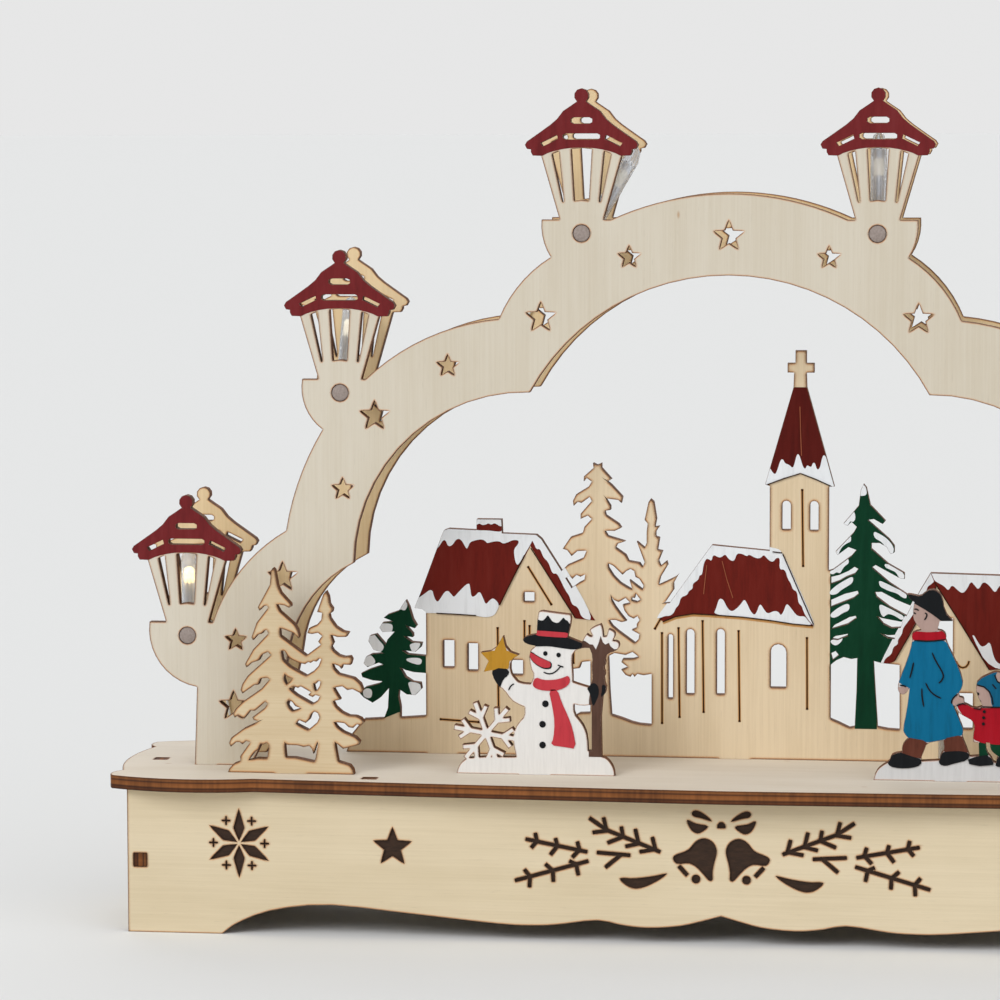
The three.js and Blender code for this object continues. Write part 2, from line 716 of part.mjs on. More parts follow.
const leftHouse = [
  [-120.3, 55.5], [-121.7, 56.6], [-124.8, 57], [-122, 64], [-114, 85.5], [-113, 87.6],
  [-111.3, 88.2], [-100.4, 87.7], [-100.3, 92], [-90.6, 92], [-90.4, 86.6], [-77, 86.2],
  [-75, 84.5], [-67.2, 72.2],
];
const tallTrees = [
  [-65, 74.5], [-58.7, 77.3], [-57.5, 80.2], [-61, 80], [-63.3, 78], [-65, 80.3], [-66.8, 80.8],
  [-63.7, 85.4], [-59, 87], [-58.3, 89.5], [-55.5, 92.5], [-57, 93.8], [-59.8, 92.5],
  [-59.8, 94.5], [-55.5, 99.5], [-56.3, 101], [-59.4, 98.7], [-61, 99.1], [-62.5, 97.5],
  [-62.8, 99.5], [-61.5, 102], [-56.7, 105], [-55.5, 107], [-57.5, 108.4], [-58.6, 107],
  [-58.5, 109], [-54.8, 112.3], [-55, 114.2], [-53.5, 113.4], [-51.7, 114.2], [-51.7, 112.3],
  [-47.8, 108], [-49, 107.3], [-51.7, 108.8], [-47.8, 105.8], [-43.5, 101.2], [-44, 98.8],
  [-45.2, 100], [-49.5, 100.5], [-51, 102], [-48.2, 97.6], [-48.2, 96.1], [-50.5, 95.7],
  [-50, 94], [-45, 90.7], [-44, 89.2], [-46.6, 88], [-50.5, 88], [-49.3, 86], [-42.5, 84],
  [-45.5, 83], [-46.2, 81.4], [-42.3, 78.7], [-41.2, 76.4], [-37, 75.7], [-35.8, 74],
  [-35, 76], [-38, 84], [-35, 81.5], [-34.2, 83.5], [-34.2, 87.7], [-33.8, 91], [-35, 92.4],
  [-33.5, 99.3], [-32.7, 100.5], [-31.5, 99.4], [-30.4, 92.8], [-31, 89.7], [-29.2, 90],
  [-30.7, 87.8], [-30.7, 86], [-29.2, 85.5], [-30, 80.8], [-28, 80.4], [-29.6, 76.5],
  [-28.8, 74.6], [-26.5, 76.6], [-26, 75], [-28.8, 70.3], [-29.6, 67.2], [-23, 70.4],
  [-21.8, 71.6], [-23.8, 68], [-23.7, 65.4], [-26.8, 60.8], [-28.4, 60], [-25.3, 60.3],
];
const church = [
  [-9, 83], [13.2, 81], [13.2, 106], [11.4, 106.6], [22.1, 144], [22.3, 149.6], [19.8, 149.6],
  [19.8, 153.2], [22.8, 153.2], [22.8, 158], [27, 158], [27, 153.2], [30, 153.2], [30, 149.6],
  [27, 149.6], [27.2, 144], [37.9, 106], [35.8, 106], [35.8, 73.5],
];
const greenTree = [
  [37.5, 74], [44.6, 79.4], [46.5, 81.7], [43.4, 82.8], [39.3, 79.7], [38.5, 81], [45.3, 88.3],
  [46.5, 90.6], [44.5, 92.5], [43, 91], [41.5, 91.8], [47.2, 98.7], [48, 104.8], [49, 107.1],
  [50.2, 105.6], [51.7, 99], [57.5, 93], [56.4, 91.8], [53, 93.7], [50.6, 93.3], [59, 86],
  [61, 83.4], [61, 81], [59.5, 80.3], [58, 83], [55.3, 84.5], [52.2, 84.5], [52.2, 82.2],
  [58.7, 76.5], [64.9, 73], [64.9, 70.8], [63, 71.1], [53.8, 76], [52.3, 75], [59.2, 69.2],
  [69, 62.8],
];
const rightHouse = [[70.6, 66], [74.8, 73.2], [108.5, 72.5], [111, 70.8], [120.3, 45.5]];

const underEdgeTree = [
  [-120.4, 31.5], [-120.4, 14.6], [-130.5, 13.8], [-130.5, 18], [-131.3, 22], [-131, 25],
  [-128, 23], [-124.6, 22.8], [-122.2, 25.2], [-122.6, 27.6], [-125.7, 28], [-128.5, 29.8],
  [-130.8, 33.7], [-128.5, 32.6], [-125.3, 31.8],
];
const besideTallTree = [
  [-65.7, 69.5], [-64, 70.3], [-63, 69.1], [-61.4, 70.7], [-59.8, 70], [-58, 71], [-58.3, 68.8],
  [-60.6, 67.6], [-63.3, 65.6],
];
const betweenTallTrees = [
  [
    [-49.3, 75.5], [-47, 74.4], [-43.5, 71], [-42, 72.5], [-40.4, 73.3], [-39, 72.5],
    [-38.5, 70.2], [-37, 69.5], [-35.4, 67], [-35.7, 65.2], [-40.8, 69], [-39.6, 65],
    [-44.3, 67.8], [-47, 70.5], [-49, 73.6],
  ],
  [
    [-48.2, 63.5], [-47, 61.2], [-45, 60.4], [-42.3, 62], [-40.4, 60], [-43.5, 59.3],
    [-42.7, 57], [-41.2, 55], [-39.2, 54], [-37.7, 55], [-37, 53.5], [-38, 52], [-38, 50.4],
    [-40, 49.6], [-37, 48], [-37.3, 46], [-38.8, 44.5], [-45, 49], [-47.4, 51], [-49, 53.3],
    [-46.2, 53.4], [-44, 52.6], [-42, 53], [-44, 55.4], [-46.2, 58.4], [-47.8, 61],
  ],
  [[-40, 62.4], [-38.8, 62], [-38.5, 64], [-36.5, 61.3], [-38, 60.5], [-40, 61]],
];
const yardGap = [
  [-49, 39.3], [-46.6, 40.5], [-42.3, 39.8], [-39.6, 41], [-37, 39], [-39.6, 38.3],
  [-43.5, 38.2], [-44, 37], [-41.2, 35], [-44, 34], [-42.3, 32], [-40.4, 31.3], [-39.6, 32.4],
  [-38.8, 31.3], [-37.7, 32.5], [-35.3, 32], [-32.2, 32.6], [-32.2, 12.6], [-37, 13],
  [-40, 13.7], [-44, 15.2], [-47.8, 16.3], [-48.5, 26],
];
const houseDoor = [
  [-63, 34], [-60.2, 34.4], [-59.4, 36.8], [-56, 37.2], [-56, 17], [-60.2, 16.8], [-63, 15.2],
];
const greenTreeGaps = [
  [
    [36.8, 71.2], [40, 72], [43.5, 73.6], [45.8, 75.2], [47.3, 74.4], [45.8, 72.5],
    [42.7, 71.3], [40, 69.7], [36.8, 68.5],
  ],
  [[36.8, 62.3], [42, 64.7], [47, 66], [47.4, 64.8], [45.5, 63.2], [36.8, 59.6]],
  [[37, 51], [38.3, 52.7], [44, 55.8], [46.3, 56.3], [46.7, 55.5], [43.2, 53]],
  [[37, 47.2], [38.7, 48.4], [43.3, 49.3], [43.3, 48.5], [39.4, 46.9]],
  [[36.8, 41.6], [38.7, 42.6], [40, 41], [37.6, 39]],
  [
    [36.8, 37.2], [39, 39], [41.8, 40.3], [44.8, 39.6], [47, 40], [46.8, 27.6], [46.2, 13.3],
    [44.2, 12.9], [40.4, 14.7], [36.8, 16.2],
  ],
  [[53.3, 39], [56.3, 38.2], [63.2, 37.6], [63.4, 12.4], [58.8, 12.7], [55, 13.4], [54, 27.8]],
  [
    [53.5, 65.6], [56.2, 65.7], [61.9, 62.7], [67.6, 60.4], [65.7, 56.5], [59.2, 60],
    [54.3, 63.7],
  ],
  [[54.3, 56.4], [56.2, 55.6], [64.2, 54.2], [63.5, 52], [60, 51.8], [57, 53.3]],
  [[55.5, 49.8], [58.6, 49], [61.6, 49.2], [61.2, 47.6], [58.6, 48]],
];
const houseWindows = [
  [-113.6, 33.9, -109.2, 44.6], [-104, 32.8, -99.9, 43.5], [-82, 60, -77.8, 63.8],
  [-87.2, 31.4, -82.3, 37.2], [74.5, 41.8, 83.4, 55.9], [85.8, 13.3, 91.2, 27.1],
  [104, 20.5, 108, 30.5], [112, 20.5, 116, 30.5],
];
const churchWindows = [
  [-25.9, 23.1, -23.9, 48.2], [-18.8, 24.9, -15.6, 50.3], [-7.1, 25, -3.9, 50.5],
  [13.7, 28, 19.8, 44.9], [17.9, 89.2, 21.3, 100.4], [28.6, 89, 31.9, 100.4],
];

// The lower edge of a panel that stands on the plate, with a tenon for each slot below it.
function footEdge(fromX, toX, tenons) {
  const edge = [[fromX, 0]];
  const step = Math.sign(toX - fromX);
  const inOrder = [...tenons].sort((a, b) => (a[0] - b[0]) * step);
  for (const tenon of inOrder) {
    const [near, far] = step > 0 ? tenon : [tenon[1], tenon[0]];
    edge.push([near, 0], [near, -tenonDrop], [far, -tenonDrop], [far, 0]);
  }
  edge.push([toX, 0]);
  return edge;
}

function villageGeometry() {
  const outline = [
    ...groundLeft, ...edgeTree, ...leftHouse, ...tallTrees, ...church, ...greenTree,
    ...rightHouse, ...mirrored(edgeTree), ...mirrored(groundLeft).slice(0, -1),
    ...footEdge(152, -152, villageTenons).slice(0, -1),
  ];
  const holes = [
    underEdgeTree, mirrored(underEdgeTree), besideTallTree, ...betweenTallTrees, yardGap,
    houseDoor, ...greenTreeGaps, ...houseWindows.map((w) => rectangle(...w)),
    ...churchWindows.map((w) => roundHead(...w)),
  ];
  const geometry = sheet(outline, holes, panelPly, villageY);
  geometry.translate(0, 0, plateTop);
  return geometry;
}

addPart('village_panel', villageGeometry(), birch);

// The pairs of fir trees.
const twoFirs = [
  [-188.2, 0], [-187.7, 1.4], [-186, 3.3], [-183.3, 4.4], [-183.4, 6.3], [-179.5, 11.7],
  [-181.1, 12.1], [-182.5, 10.8], [-183.6, 11.7], [-184.9, 11.6], [-187, 9.8], [-187.7, 11.2],
  [-186.8, 13.3], [-182.1, 16.8], [-174.5, 20.4], [-176.8, 19.9], [-178.1, 20.2], [-178.7, 21.2],
  [-173.9, 24.8], [-172.8, 26.4], [-173.5, 27.3], [-177.6, 23.7], [-179.3, 23.8], [-181.8, 20.6],
  [-184.1, 22], [-185.4, 20.9], [-186.1, 22.4], [-184.8, 24.6], [-182, 27.3], [-175, 32.2],
  [-171.9, 35.8], [-172.8, 36.4], [-175.4, 36], [-176.2, 33.7], [-177.6, 33.6], [-182.3, 30.2],
  [-183.1, 31.6], [-182.3, 34], [-180.3, 37], [-171.4, 45.1], [-172.4, 46.2], [-174.8, 45.1],
  [-176, 42.9], [-178.7, 42], [-180.7, 40.2], [-181.3, 41.5], [-178.1, 47.1], [-172.3, 53.2],
  [-172.7, 54.6], [-173.8, 54.3], [-174.7, 53.1], [-176.2, 52.8], [-178.1, 50.6], [-178.7, 51.7],
  [-176.7, 57.3], [-172.3, 63], [-172.6, 63.9], [-173.8, 63.7], [-175.6, 61.9], [-176.2, 63.2],
  [-171.5, 71.8], [-171, 77.2], [-170.3, 78.2], [-169.6, 77.4], [-168.5, 71.3], [-167.3, 68.7],
  [-163.6, 64.7], [-163.4, 63.6], [-164.2, 63.1], [-165.9, 64], [-169.2, 64.5], [-167.8, 61.8],
  [-162.3, 57], [-161, 54.9], [-160.4, 52.5], [-160.7, 51.6], [-162.4, 53.5], [-167.9, 55.5],
  [-167.7, 52.4], [-157.8, 45.1], [-152.2, 49.3], [-153.2, 50.5], [-151.7, 52.6], [-153.2, 53.8],
  [-155.5, 53.3], [-157.3, 53.6], [-156.6, 55.5], [-153.6, 56.8], [-151.9, 58.8], [-151.6, 61.4],
  [-153.5, 61.7], [-151.1, 68.4], [-150.1, 69.7], [-149.1, 67.7], [-148.7, 64.7], [-147.5, 63],
  [-147.8, 61.6], [-148.9, 61.1], [-148.5, 59.3], [-146.3, 56.2], [-143.6, 54.5], [-141.4, 54.1],
  [-142.4, 52.4], [-145.8, 52.3], [-148.5, 53.2], [-147.3, 50], [-148.2, 48.4], [-147.3, 47],
  [-145.3, 45.4], [-143.2, 44.8], [-140.9, 45.1], [-140.2, 43.8], [-140.8, 41.8], [-143.8, 41.9],
  [-144.4, 40.2], [-145.2, 41.3], [-147.9, 42.3], [-147.2, 40.2], [-145.4, 38.3], [-139.5, 36.8],
  [-137.1, 34.7], [-136.2, 32.4], [-136.9, 31], [-140.1, 32.6], [-142.1, 32.2], [-144, 33.6],
  [-147.5, 33], [-144.8, 28.5], [-147.7, 27.9], [-146.5, 25.7], [-144.3, 23.8], [-141.6, 22.5],
  [-139, 22.4], [-137, 21.6], [-135.8, 20.1], [-136.8, 18.9], [-138.5, 19.2], [-140, 17.8],
  [-141.7, 18.1], [-143.3, 19.6], [-147.5, 20], [-146, 17.9], [-143.8, 16.3], [-139, 14.3],
  [-137.4, 12.6], [-137.9, 11.4], [-143.9, 9.8], [-147.2, 12.6], [-145.8, 4.9], [-141.3, 3.6],
  [-140.2, 2.1], [-139.7, 0],
];
const twoFirsGaps = [
  [
    [-167.4, 46.9], [-166, 46.7], [-164.9, 44.7], [-163.4, 43.5], [-160.4, 42.2], [-158.2, 41.8],
    [-157, 42.6], [-156, 42.3], [-154.9, 43.1], [-153.9, 42.8], [-152.9, 44], [-152, 43.9],
    [-153, 41.3], [-154.9, 39.3], [-157.9, 37.4], [-164, 40.7], [-166.8, 43.3],
  ],
  [[-166.1, 38.1], [-164.9, 36.7], [-162.9, 36.3], [-165.5, 33.8], [-166.4, 36.1]],
  [
    [-164.5, 32.4], [-162.6, 33.3], [-161, 32.7], [-159.9, 33.3], [-156.1, 31.2], [-157.1, 30.1],
    [-155.4, 29.3], [-154.3, 30.1], [-152.7, 29.7], [-153.4, 28.1], [-155.6, 26.7], [-161.5, 30],
  ],
  [
    [-153.2, 35.5], [-152.4, 35.3], [-152.7, 33.7], [-153.7, 32], [-154.5, 31.7], [-155.2, 34.7],
    [-154.2, 34.3],
  ],
  [
    [-164.5, 28.1], [-163.2, 27.3], [-162.1, 25.8], [-159.6, 24.9], [-163.3, 23.8],
    [-164.8, 25.5], [-165.3, 27.3],
  ],
  [
    [-154.6, 23.8], [-153.4, 23.2], [-152.9, 21.6], [-153.7, 19.8], [-157.3, 16.7], [-161.9, 19],
    [-160.7, 20.5], [-158.1, 19.4], [-156.8, 20.6], [-155.9, 22.9],
  ],
  [
    [-166.4, 12.2], [-165.3, 10.9], [-161.1, 10.8], [-159, 10.2], [-156.8, 10.7], [-155.8, 9.5],
    [-155.3, 7.7], [-153.7, 12.5], [-153.4, 11.6], [-154.7, 4.6], [-162.2, 6.1], [-165.9, 6.1],
  ],
  [
    [-175.6, 11.3], [-174.5, 10.8], [-173, 11.6], [-172.3, 10.3], [-173, 5.5], [-176.8, 5.6],
    [-180.4, 4.7], [-177.7, 8.1], [-176.3, 8.9],
  ],
];

// The outline is drawn with the tenon's middle here, and then moves with the base's end.
const treesDrawnX = -164;

function firsGeometry() {
  const tenon = [treesDrawnX - treesTenon, treesDrawnX + treesTenon];
  const outline = [...twoFirs, ...footEdge(-139.7, -188.2, [tenon]).slice(1, -1)];
  const geometry = sheet(outline, twoFirsGaps, panelPly, 0);
  geometry.translate(-treesMiddleX - treesDrawnX, 0, plateTop);
  return geometry;
}

const leftFirs = addPart('fir_trees_left', firsGeometry(), birch);
leftFirs.position.y = treesY;
const rightFirs = addPart('fir_trees_right', firsGeometry(), birch);
rightFirs.position.y = treesY + panelPly;
rightFirs.rotation.z = Math.PI;

// The snowman.
const snowmanBody = [
  [-101.8, 0], [-101, 2.7], [-99.5, 4.7], [-96.8, 6.3], [-79, 6.6], [-80.4, 13], [-79.6, 17.3],
  [-77.7, 20.3], [-75.8, 22], [-75.8, 25.7], [-78.5, 26.8], [-81, 28.3], [-83.8, 32.4],
  [-85.7, 33.2], [-88.3, 37.7], [-88, 39.6], [-91.4, 38.8], [-89.5, 43], [-92.5, 46.2],
  [-87.2, 47], [-84, 52.6], [-82.6, 47], [-78, 45.4], [-81, 43.5], [-81.5, 39.3], [-79.2, 36],
  [-77.7, 34.8], [-73.5, 34.5], [-72, 38], [-73.5, 40.2], [-74.3, 46.6], [-71.6, 49],
  [-75.4, 49.7], [-76.5, 51.2], [-75.4, 52.7], [-71.2, 53.5], [-70.8, 61.5], [-69.7, 62.4],
  [-67, 62], [-58.4, 61], [-58, 59], [-59.5, 52.5], [-54.2, 50.4], [-53.4, 52.3], [-52.3, 53.8],
  [-50.8, 52.7], [-50, 53], [-51.2, 55.3], [-49.7, 56.5], [-47, 57.6], [-46.3, 56],
  [-46, 52.8], [-44.8, 53], [-44, 55.8], [-42, 55], [-41.4, 53.6], [-42.5, 51.3], [-41, 51.3],
  [-40, 50.6], [-40, 48.7], [-41.4, 47.5], [-44, 46.7], [-45.5, 44.8], [-45, 42.5], [-46, 41],
  [-45, 39], [-46, 36.8], [-44.4, 32.7], [-47, 29], [-46.6, 7.2], [-45, 6.9], [-43.2, 5],
  [-42, 2.7], [-41.7, 0],
];
const snowmanGaps = [
  [
    [-57.6, 47], [-54.2, 48.5], [-51.2, 48.5], [-50, 45.5], [-50.4, 41], [-50, 37.5],
    [-50.4, 35.3], [-51.6, 33.7], [-54.2, 34.4], [-57.6, 35.5], [-57.6, 39.3], [-58, 43],
  ],
  [
    [-57.2, 27.2], [-54.2, 26.5], [-50.4, 27], [-50.4, 9.4], [-51.8, 9.4], [-52, 14.3],
    [-53, 18], [-55, 21], [-57.2, 23.4],
  ],
];
// The snowflake at the snowman's side is part of the same panel.
const flake = { x: -90.4, z: 15.4, reach: 12.5, arm: 2, twig: 1.8, turn: 20 };

function snowflakeStrokes() {
  const strokes = [];
  for (let i = 0; i < flakeArms; i += 1) {
    const angle = (90 + flake.turn + (360 * i) / flakeArms) * degree;
    const at = (distance, aside) => [
      flake.x + distance * Math.cos(angle) - aside * Math.sin(angle),
      flake.z + distance * Math.sin(angle) + aside * Math.cos(angle),
    ];
    strokes.push(stroke(at(-0.5, 0), at(flake.reach, 0), flake.arm));
    for (const side of [-1, 1]) {
      strokes.push(stroke(at(6.2, 0), at(9.9, 3.5 * side), flake.twig));
    }
  }
  return strokes;
}

function snowmanGeometry() {
  const outline = [...snowmanBody, ...footEdge(-41.7, -101.8, [snowmanTenonX]).slice(1, -1)];
  const pieces = [sheet(softened(outline), snowmanGaps.map(softened), panelPly, snowmanY)];
  for (const points of snowflakeStrokes()) {
    pieces.push(upright(points, panelPly, snowmanY));
  }
  const geometry = joined(pieces);
  geometry.translate(0, 0, plateTop);
  return geometry;
}

addPart('snowman_panel', snowmanGeometry(), snowPaint);

// The man and the child.
const strollersBody = [
  [55.3, 0], [56, 3], [58, 5.3], [61, 7], [61.6, 8.8], [62.3, 10], [66, 10.8], [65.7, 12.3],
  [66.4, 14.2], [68.2, 16], [66.7, 17.6], [66, 19.4], [67.4, 26], [68.5, 35], [67, 32.6],
  [65.5, 32.4], [64.4, 33.4], [64, 35.2], [64.7, 38.3], [67.3, 44.7], [69.5, 52.6], [69, 54.8],
  [69.8, 56.2], [72.8, 56.8], [70, 59.7], [69.4, 62.7], [70, 67.2], [68.2, 68.3], [67.5, 70.2],
  [69.7, 70], [72.3, 69.3], [74, 71], [76.3, 72.2], [78.6, 71.5], [80.4, 69.2], [81.2, 63.6],
  [84.2, 60.3], [79.4, 60.2], [78.7, 57], [81, 56.5], [82, 54.7], [81.7, 52.8], [85.4, 45.7],
  [88.3, 38.3], [88, 35.3], [86.6, 33.4], [87, 31.9], [88.3, 31.7], [88.7, 31], [88.8, 29.5],
  [89.7, 29.2], [92.6, 27.6], [95.6, 28.6], [93.3, 33], [93, 35.7], [93.6, 38.4], [98.4, 41],
  [101.3, 41.8], [104, 40.2], [106, 36], [105.2, 29], [106.8, 25.5], [105.2, 20], [108.6, 15.6],
  [105.6, 14.8], [105.6, 9.8], [108.6, 8.8], [109, 7.2], [113, 6.5], [116.5, 4.5], [118, 0],
];
const strollersGaps = [
  [
    [75, 14.3], [78.6, 15], [81.2, 15.6], [81.6, 11.8], [80.2, 10.3], [79.8, 8], [73, 7.5],
    [73, 9], [74.2, 11.7],
  ],
  [
    [84.6, 28.8], [85.7, 28.2], [86.2, 26.2], [89.3, 24.4], [92, 23], [92.7, 20.7], [92, 17],
    [92.3, 15], [94.2, 14.7], [94.4, 9.9], [91, 9.6], [89.4, 14], [88, 17.2], [88.6, 19],
    [88, 21.3],
  ],
  [
    [96.9, 15], [98.3, 14.8], [98.6, 12.5], [99.4, 11.3], [101.5, 9.8], [100.9, 8.9],
    [100.8, 7.4], [99.5, 7.8], [99.1, 9.4], [97.1, 11.4],
  ],
];

function strollersGeometry() {
  const outline = [...strollersBody, ...footEdge(118, 55.3, [strollersTenonX]).slice(1, -1)];
  const geometry = sheet(softened(outline), strollersGaps.map(softened), panelPly, strollersY);
  geometry.translate(0, 0, plateTop);
  return geometry;
}

addPart('strollers_panel', strollersGeometry(), bluePaint);

// The battery case.

function screwLug(x0, x1) {
  return block(x0, x1, -lugHalfWidth, lugHalfWidth, caseRoof, baseHeight);
}

function caseGeometry() {
  const leftLug = screwX[0] - lugReach;
  const rightLug = screwX[1] + lugReach;
  const half = caseHalfWidth;
  const shell = joined([
    block(caseLeft, caseRight, -half, half, caseBottom, baseHeight),
    screwLug(leftLug, caseLeft + 1), screwLug(caseRight - 1, rightLug),
  ]);
  const room = roomHalfWidth;
  const grooveHalf = room + groove;
  const holes = caseScrews.map((place) => boreAt(place, baseHeight - 2));
  return cut(shell, [
    block(roomLeft, roomRight, -room, room, caseBottom - 1, caseRoof),
    block(caseLeft - 1, roomRight, -grooveHalf, grooveHalf, coverBottom - cellGap, coverTop + cellGap),
    block(caseLeft - 1, roomLeft + 1, -room, room, caseBottom - 1, coverTop),
    block(bayLeft, bayRight, -room, room, bayFloor, caseRoof),
    block(knobX - slotHalfX, knobX + slotHalfX, slotY[0], slotY[1], caseBottom - 1, bayFloor + 1),
    ...holes,
  ]);
}

addPart('battery_case', caseGeometry(), casePlastic);

// The cover slides out of its grooves to the left. Two low ridges give the thumb a grip.
const coverRidges = [4, 8];
const ridgeHalf = 8;
const ridgeDrop = 1.2;

function coverGeometry() {
  const half = roomHalfWidth + groove - cellGap;
  const right = roomRight - cellGap;
  const ridges = coverRidges.map((x) => {
    const [x0, x1] = [caseLeft + x, caseLeft + x + 2];
    return block(x0, x1, -ridgeHalf, ridgeHalf, coverBottom - ridgeDrop, coverBottom + 0.2);
  });
  return joined([block(caseLeft, right, -half, half, coverBottom, coverTop), ...ridges]);
}

addPart('battery_cover', coverGeometry(), casePlastic);

function cellGeometry() {
  const r = cellDiameter / 2;
  const shoulder = cellLength - 1.3;
  const tip = 2.6;
  const profile = [[0, 0], [r, 0], [r, shoulder], [tip, shoulder], [tip, cellLength], [0, cellLength]];
  const geometry = new THREE.LatheGeometry(profile.map(([x, z]) => new THREE.Vector2(x, z)), 12);
  geometry.rotateZ(-Math.PI / 2);
  return geometry;
}

const cellLeft = roomLeft + contactThickness + 2 * cellGap;
for (let i = 0; i < cellCount; i += 1) {
  const cell = addPart(`battery_cell_${i + 1}`, cellGeometry(), cellSleeve);
  const turned = i % 2 === 1;
  cell.position.set(turned ? cellLeft + cellLength : cellLeft, (i - 1) * cellPitch, cellZ);
  cell.rotation.z = turned ? Math.PI : 0;
}

const contactX = [roomLeft + cellGap, roomRight - cellGap - contactThickness];
contactX.forEach((x, index) => {
  const half = roomHalfWidth - cellGap;
  const low = cellZ - 3.5;
  const strip = block(x, x + contactThickness, -half, half, low, caseRoof - cellGap);
  addPart(`contact_strip_${index + 1}`, strip, springSteel);
});

// The switch: a plate inside the bay carries a knob that passes down through the slot.
function switchGeometry() {
  const floor = bayFloor + cellGap;
  return joined([
    block(knobX - 3.4, knobX + 3.4, -7, 4, floor, floor + 1.2),
    block(knobX - 2, knobX + 2, slotY[0] + cellGap, slotY[1] - cellGap - switchTravel,
      caseBottom - 1.5, floor + 0.2),
  ]);
}

addPart('switch_slider', switchGeometry(), switchPlastic);

function screwGeometry() {
  const top = baseHeight + 3.6;
  const head = caseRoof - 0.05;
  const profile = [
    [0, head - 1.5], [1.5, head - 1.5], [2.3, head - 0.8], [2.3, head], [1, head], [1, top - 1],
    [0, top],
  ];
  const geometry = new THREE.LatheGeometry(profile.map(([x, z]) => new THREE.Vector2(x, z)), 8);
  geometry.rotateX(Math.PI / 2);
  return geometry;
}

caseScrews.forEach(([x, y], index) => {
  const screw = addPart(`case_screw_${index + 1}`, screwGeometry(), screwZinc);
  screw.position.set(x, y, 0);
});

// The wires. Each side's lamps hang on one thin lead. It leaves the case under the plate, comes
// up through a hole at the arch's foot and runs up the inner face of the back panel. A soldered
// bead joins each branch to it.
const wireRadius = 0.5;
const wireSides = 8;
const beadRadius = 0.8;
const wireY = archBackY - beadRadius - 0.1;
const underPlate = baseHeight - beadRadius - 0.2;
const dowelClear = dowelRadius + beadRadius + 0.6;

function wireAlong(points, steps) {
  const places = points.map((p) => new THREE.Vector3(...p));
  const path = new THREE.CatmullRomCurve3(places, false, 'centripetal');
  const round = disc(0, 0, wireRadius, wireSides);
  const settings = { steps, extrudePath: path, bevelEnabled: false };
  return new THREE.ExtrudeGeometry(toShape(round), settings);
}

function bead([x, y, z]) {
  const geometry = new THREE.SphereGeometry(beadRadius, 8, 5);
  geometry.translate(x, y, z);
  return geometry;
}

function besideDowel([cx, cz], side) {
  return [cx + side * dowelClear, wireY, plateTop + cz - dowelDrop + 1];
}

// From the main lead, forward along a dowel, to the foot of its lamp.
function branchTo(place, side) {
  const root = besideDowel(place, side);
  const x = place[0] + side * (dowelRadius + 0.6);
  const z = root[2] + 1.4;
  return wireAlong([root, [x, wireY - 2.5, z], [x, 8, z], [x, lampY, z]], 3);
}

// The left side's lead. The right side's is its mirror image, except at the case and the plate.
function wireGeometry(lampX, caseX) {
  const [holeX, holeY] = wireHole;
  const [low, mid, high] = lanternPlaces;
  const lowRoot = besideDowel(low, 1);
  const midRoot = besideDowel(mid, 1);
  const highRoot = besideDowel(high, -1);
  const plateRoot = [lampX - 6, 25.4, underPlate];
  const caseY = caseHalfWidth + seatGap;
  const rise = (x, z) => [x, wireY, plateTop + z];
  const stretches = [
    wireAlong([[caseX, caseY, underPlate], [caseX - 5, caseY + 4, underPlate], plateRoot], 4),
    wireAlong([
      plateRoot, [-120, 25, underPlate], [-170, 20, underPlate],
      [-holeX + 7, holeY + 0.5, underPlate - 0.6], [-holeX + 2, holeY, underPlate - 0.8],
      [-holeX, holeY, baseHeight + 2.5], [-holeX, holeY, plateTop + 0.8],
      rise(-holeX - 0.8, 6), rise(-197, 14), rise(-198.6, 24), rise(-200, 38), rise(-202, 45),
      lowRoot,
    ], 28),
    wireAlong([
      lowRoot, rise(-200, 55.5), rise(-194, 60), rise(-181, 74), rise(-168, 88),
      rise(-160, 103), rise(-155, 120), rise(mid[0] + 2, mid[1] - dowelDrop - dowelClear - 3.5),
      midRoot,
    ], 11),
    wireAlong([
      midRoot, rise(-134, 146), rise(-116, 155.5), rise(-98, 160.5), rise(-84, 164.5),
      rise(-77, 176), rise(-68, 187), rise(high[0] - dowelClear - 1, high[1] - dowelDrop - 4),
      highRoot,
    ], 11),
    wireAlong([
      plateRoot, [lampX - 3, 12, underPlate], [lampX - 1, lampY + 4, underPlate - 0.2],
      [lampX, lampY + 0.6, underPlate - 0.3], [lampX, lampY, baseHeight + 1],
      [lampX, lampY, plateTop + 0.1],
    ], 8),
  ];
  const branches = [branchTo(low, 1), branchTo(mid, 1), branchTo(high, -1)];
  const beads = [plateRoot, lowRoot, midRoot, highRoot].map(bead);
  return joined([...stretches, ...branches, ...beads]);
}

// The mirror image in X, with its triangles turned round so that they still face out.
function flipped(geometry) {
  const positions = geometry.getAttribute('position');
  const turned = [];
  for (let i = 0; i < positions.count; i += 3) {
    for (const k of [i, i + 2, i + 1]) {
      turned.push(-positions.getX(k), positions.getY(k), positions.getZ(k));
    }
  }
  const mirror = new THREE.BufferGeometry();
  mirror.setAttribute('position', new THREE.Float32BufferAttribute(turned, 3));
  mirror.computeVertexNormals();
  return mirror;
}

addPart('wire_left', wireGeometry(plateLampX[0], caseLeft + 20), wirePlastic);
addPart('wire_right', flipped(wireGeometry(-plateLampX[1], -knobX)), wirePlastic);

export default object;
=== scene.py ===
import math

import bpy
from mathutils import Matrix, Vector


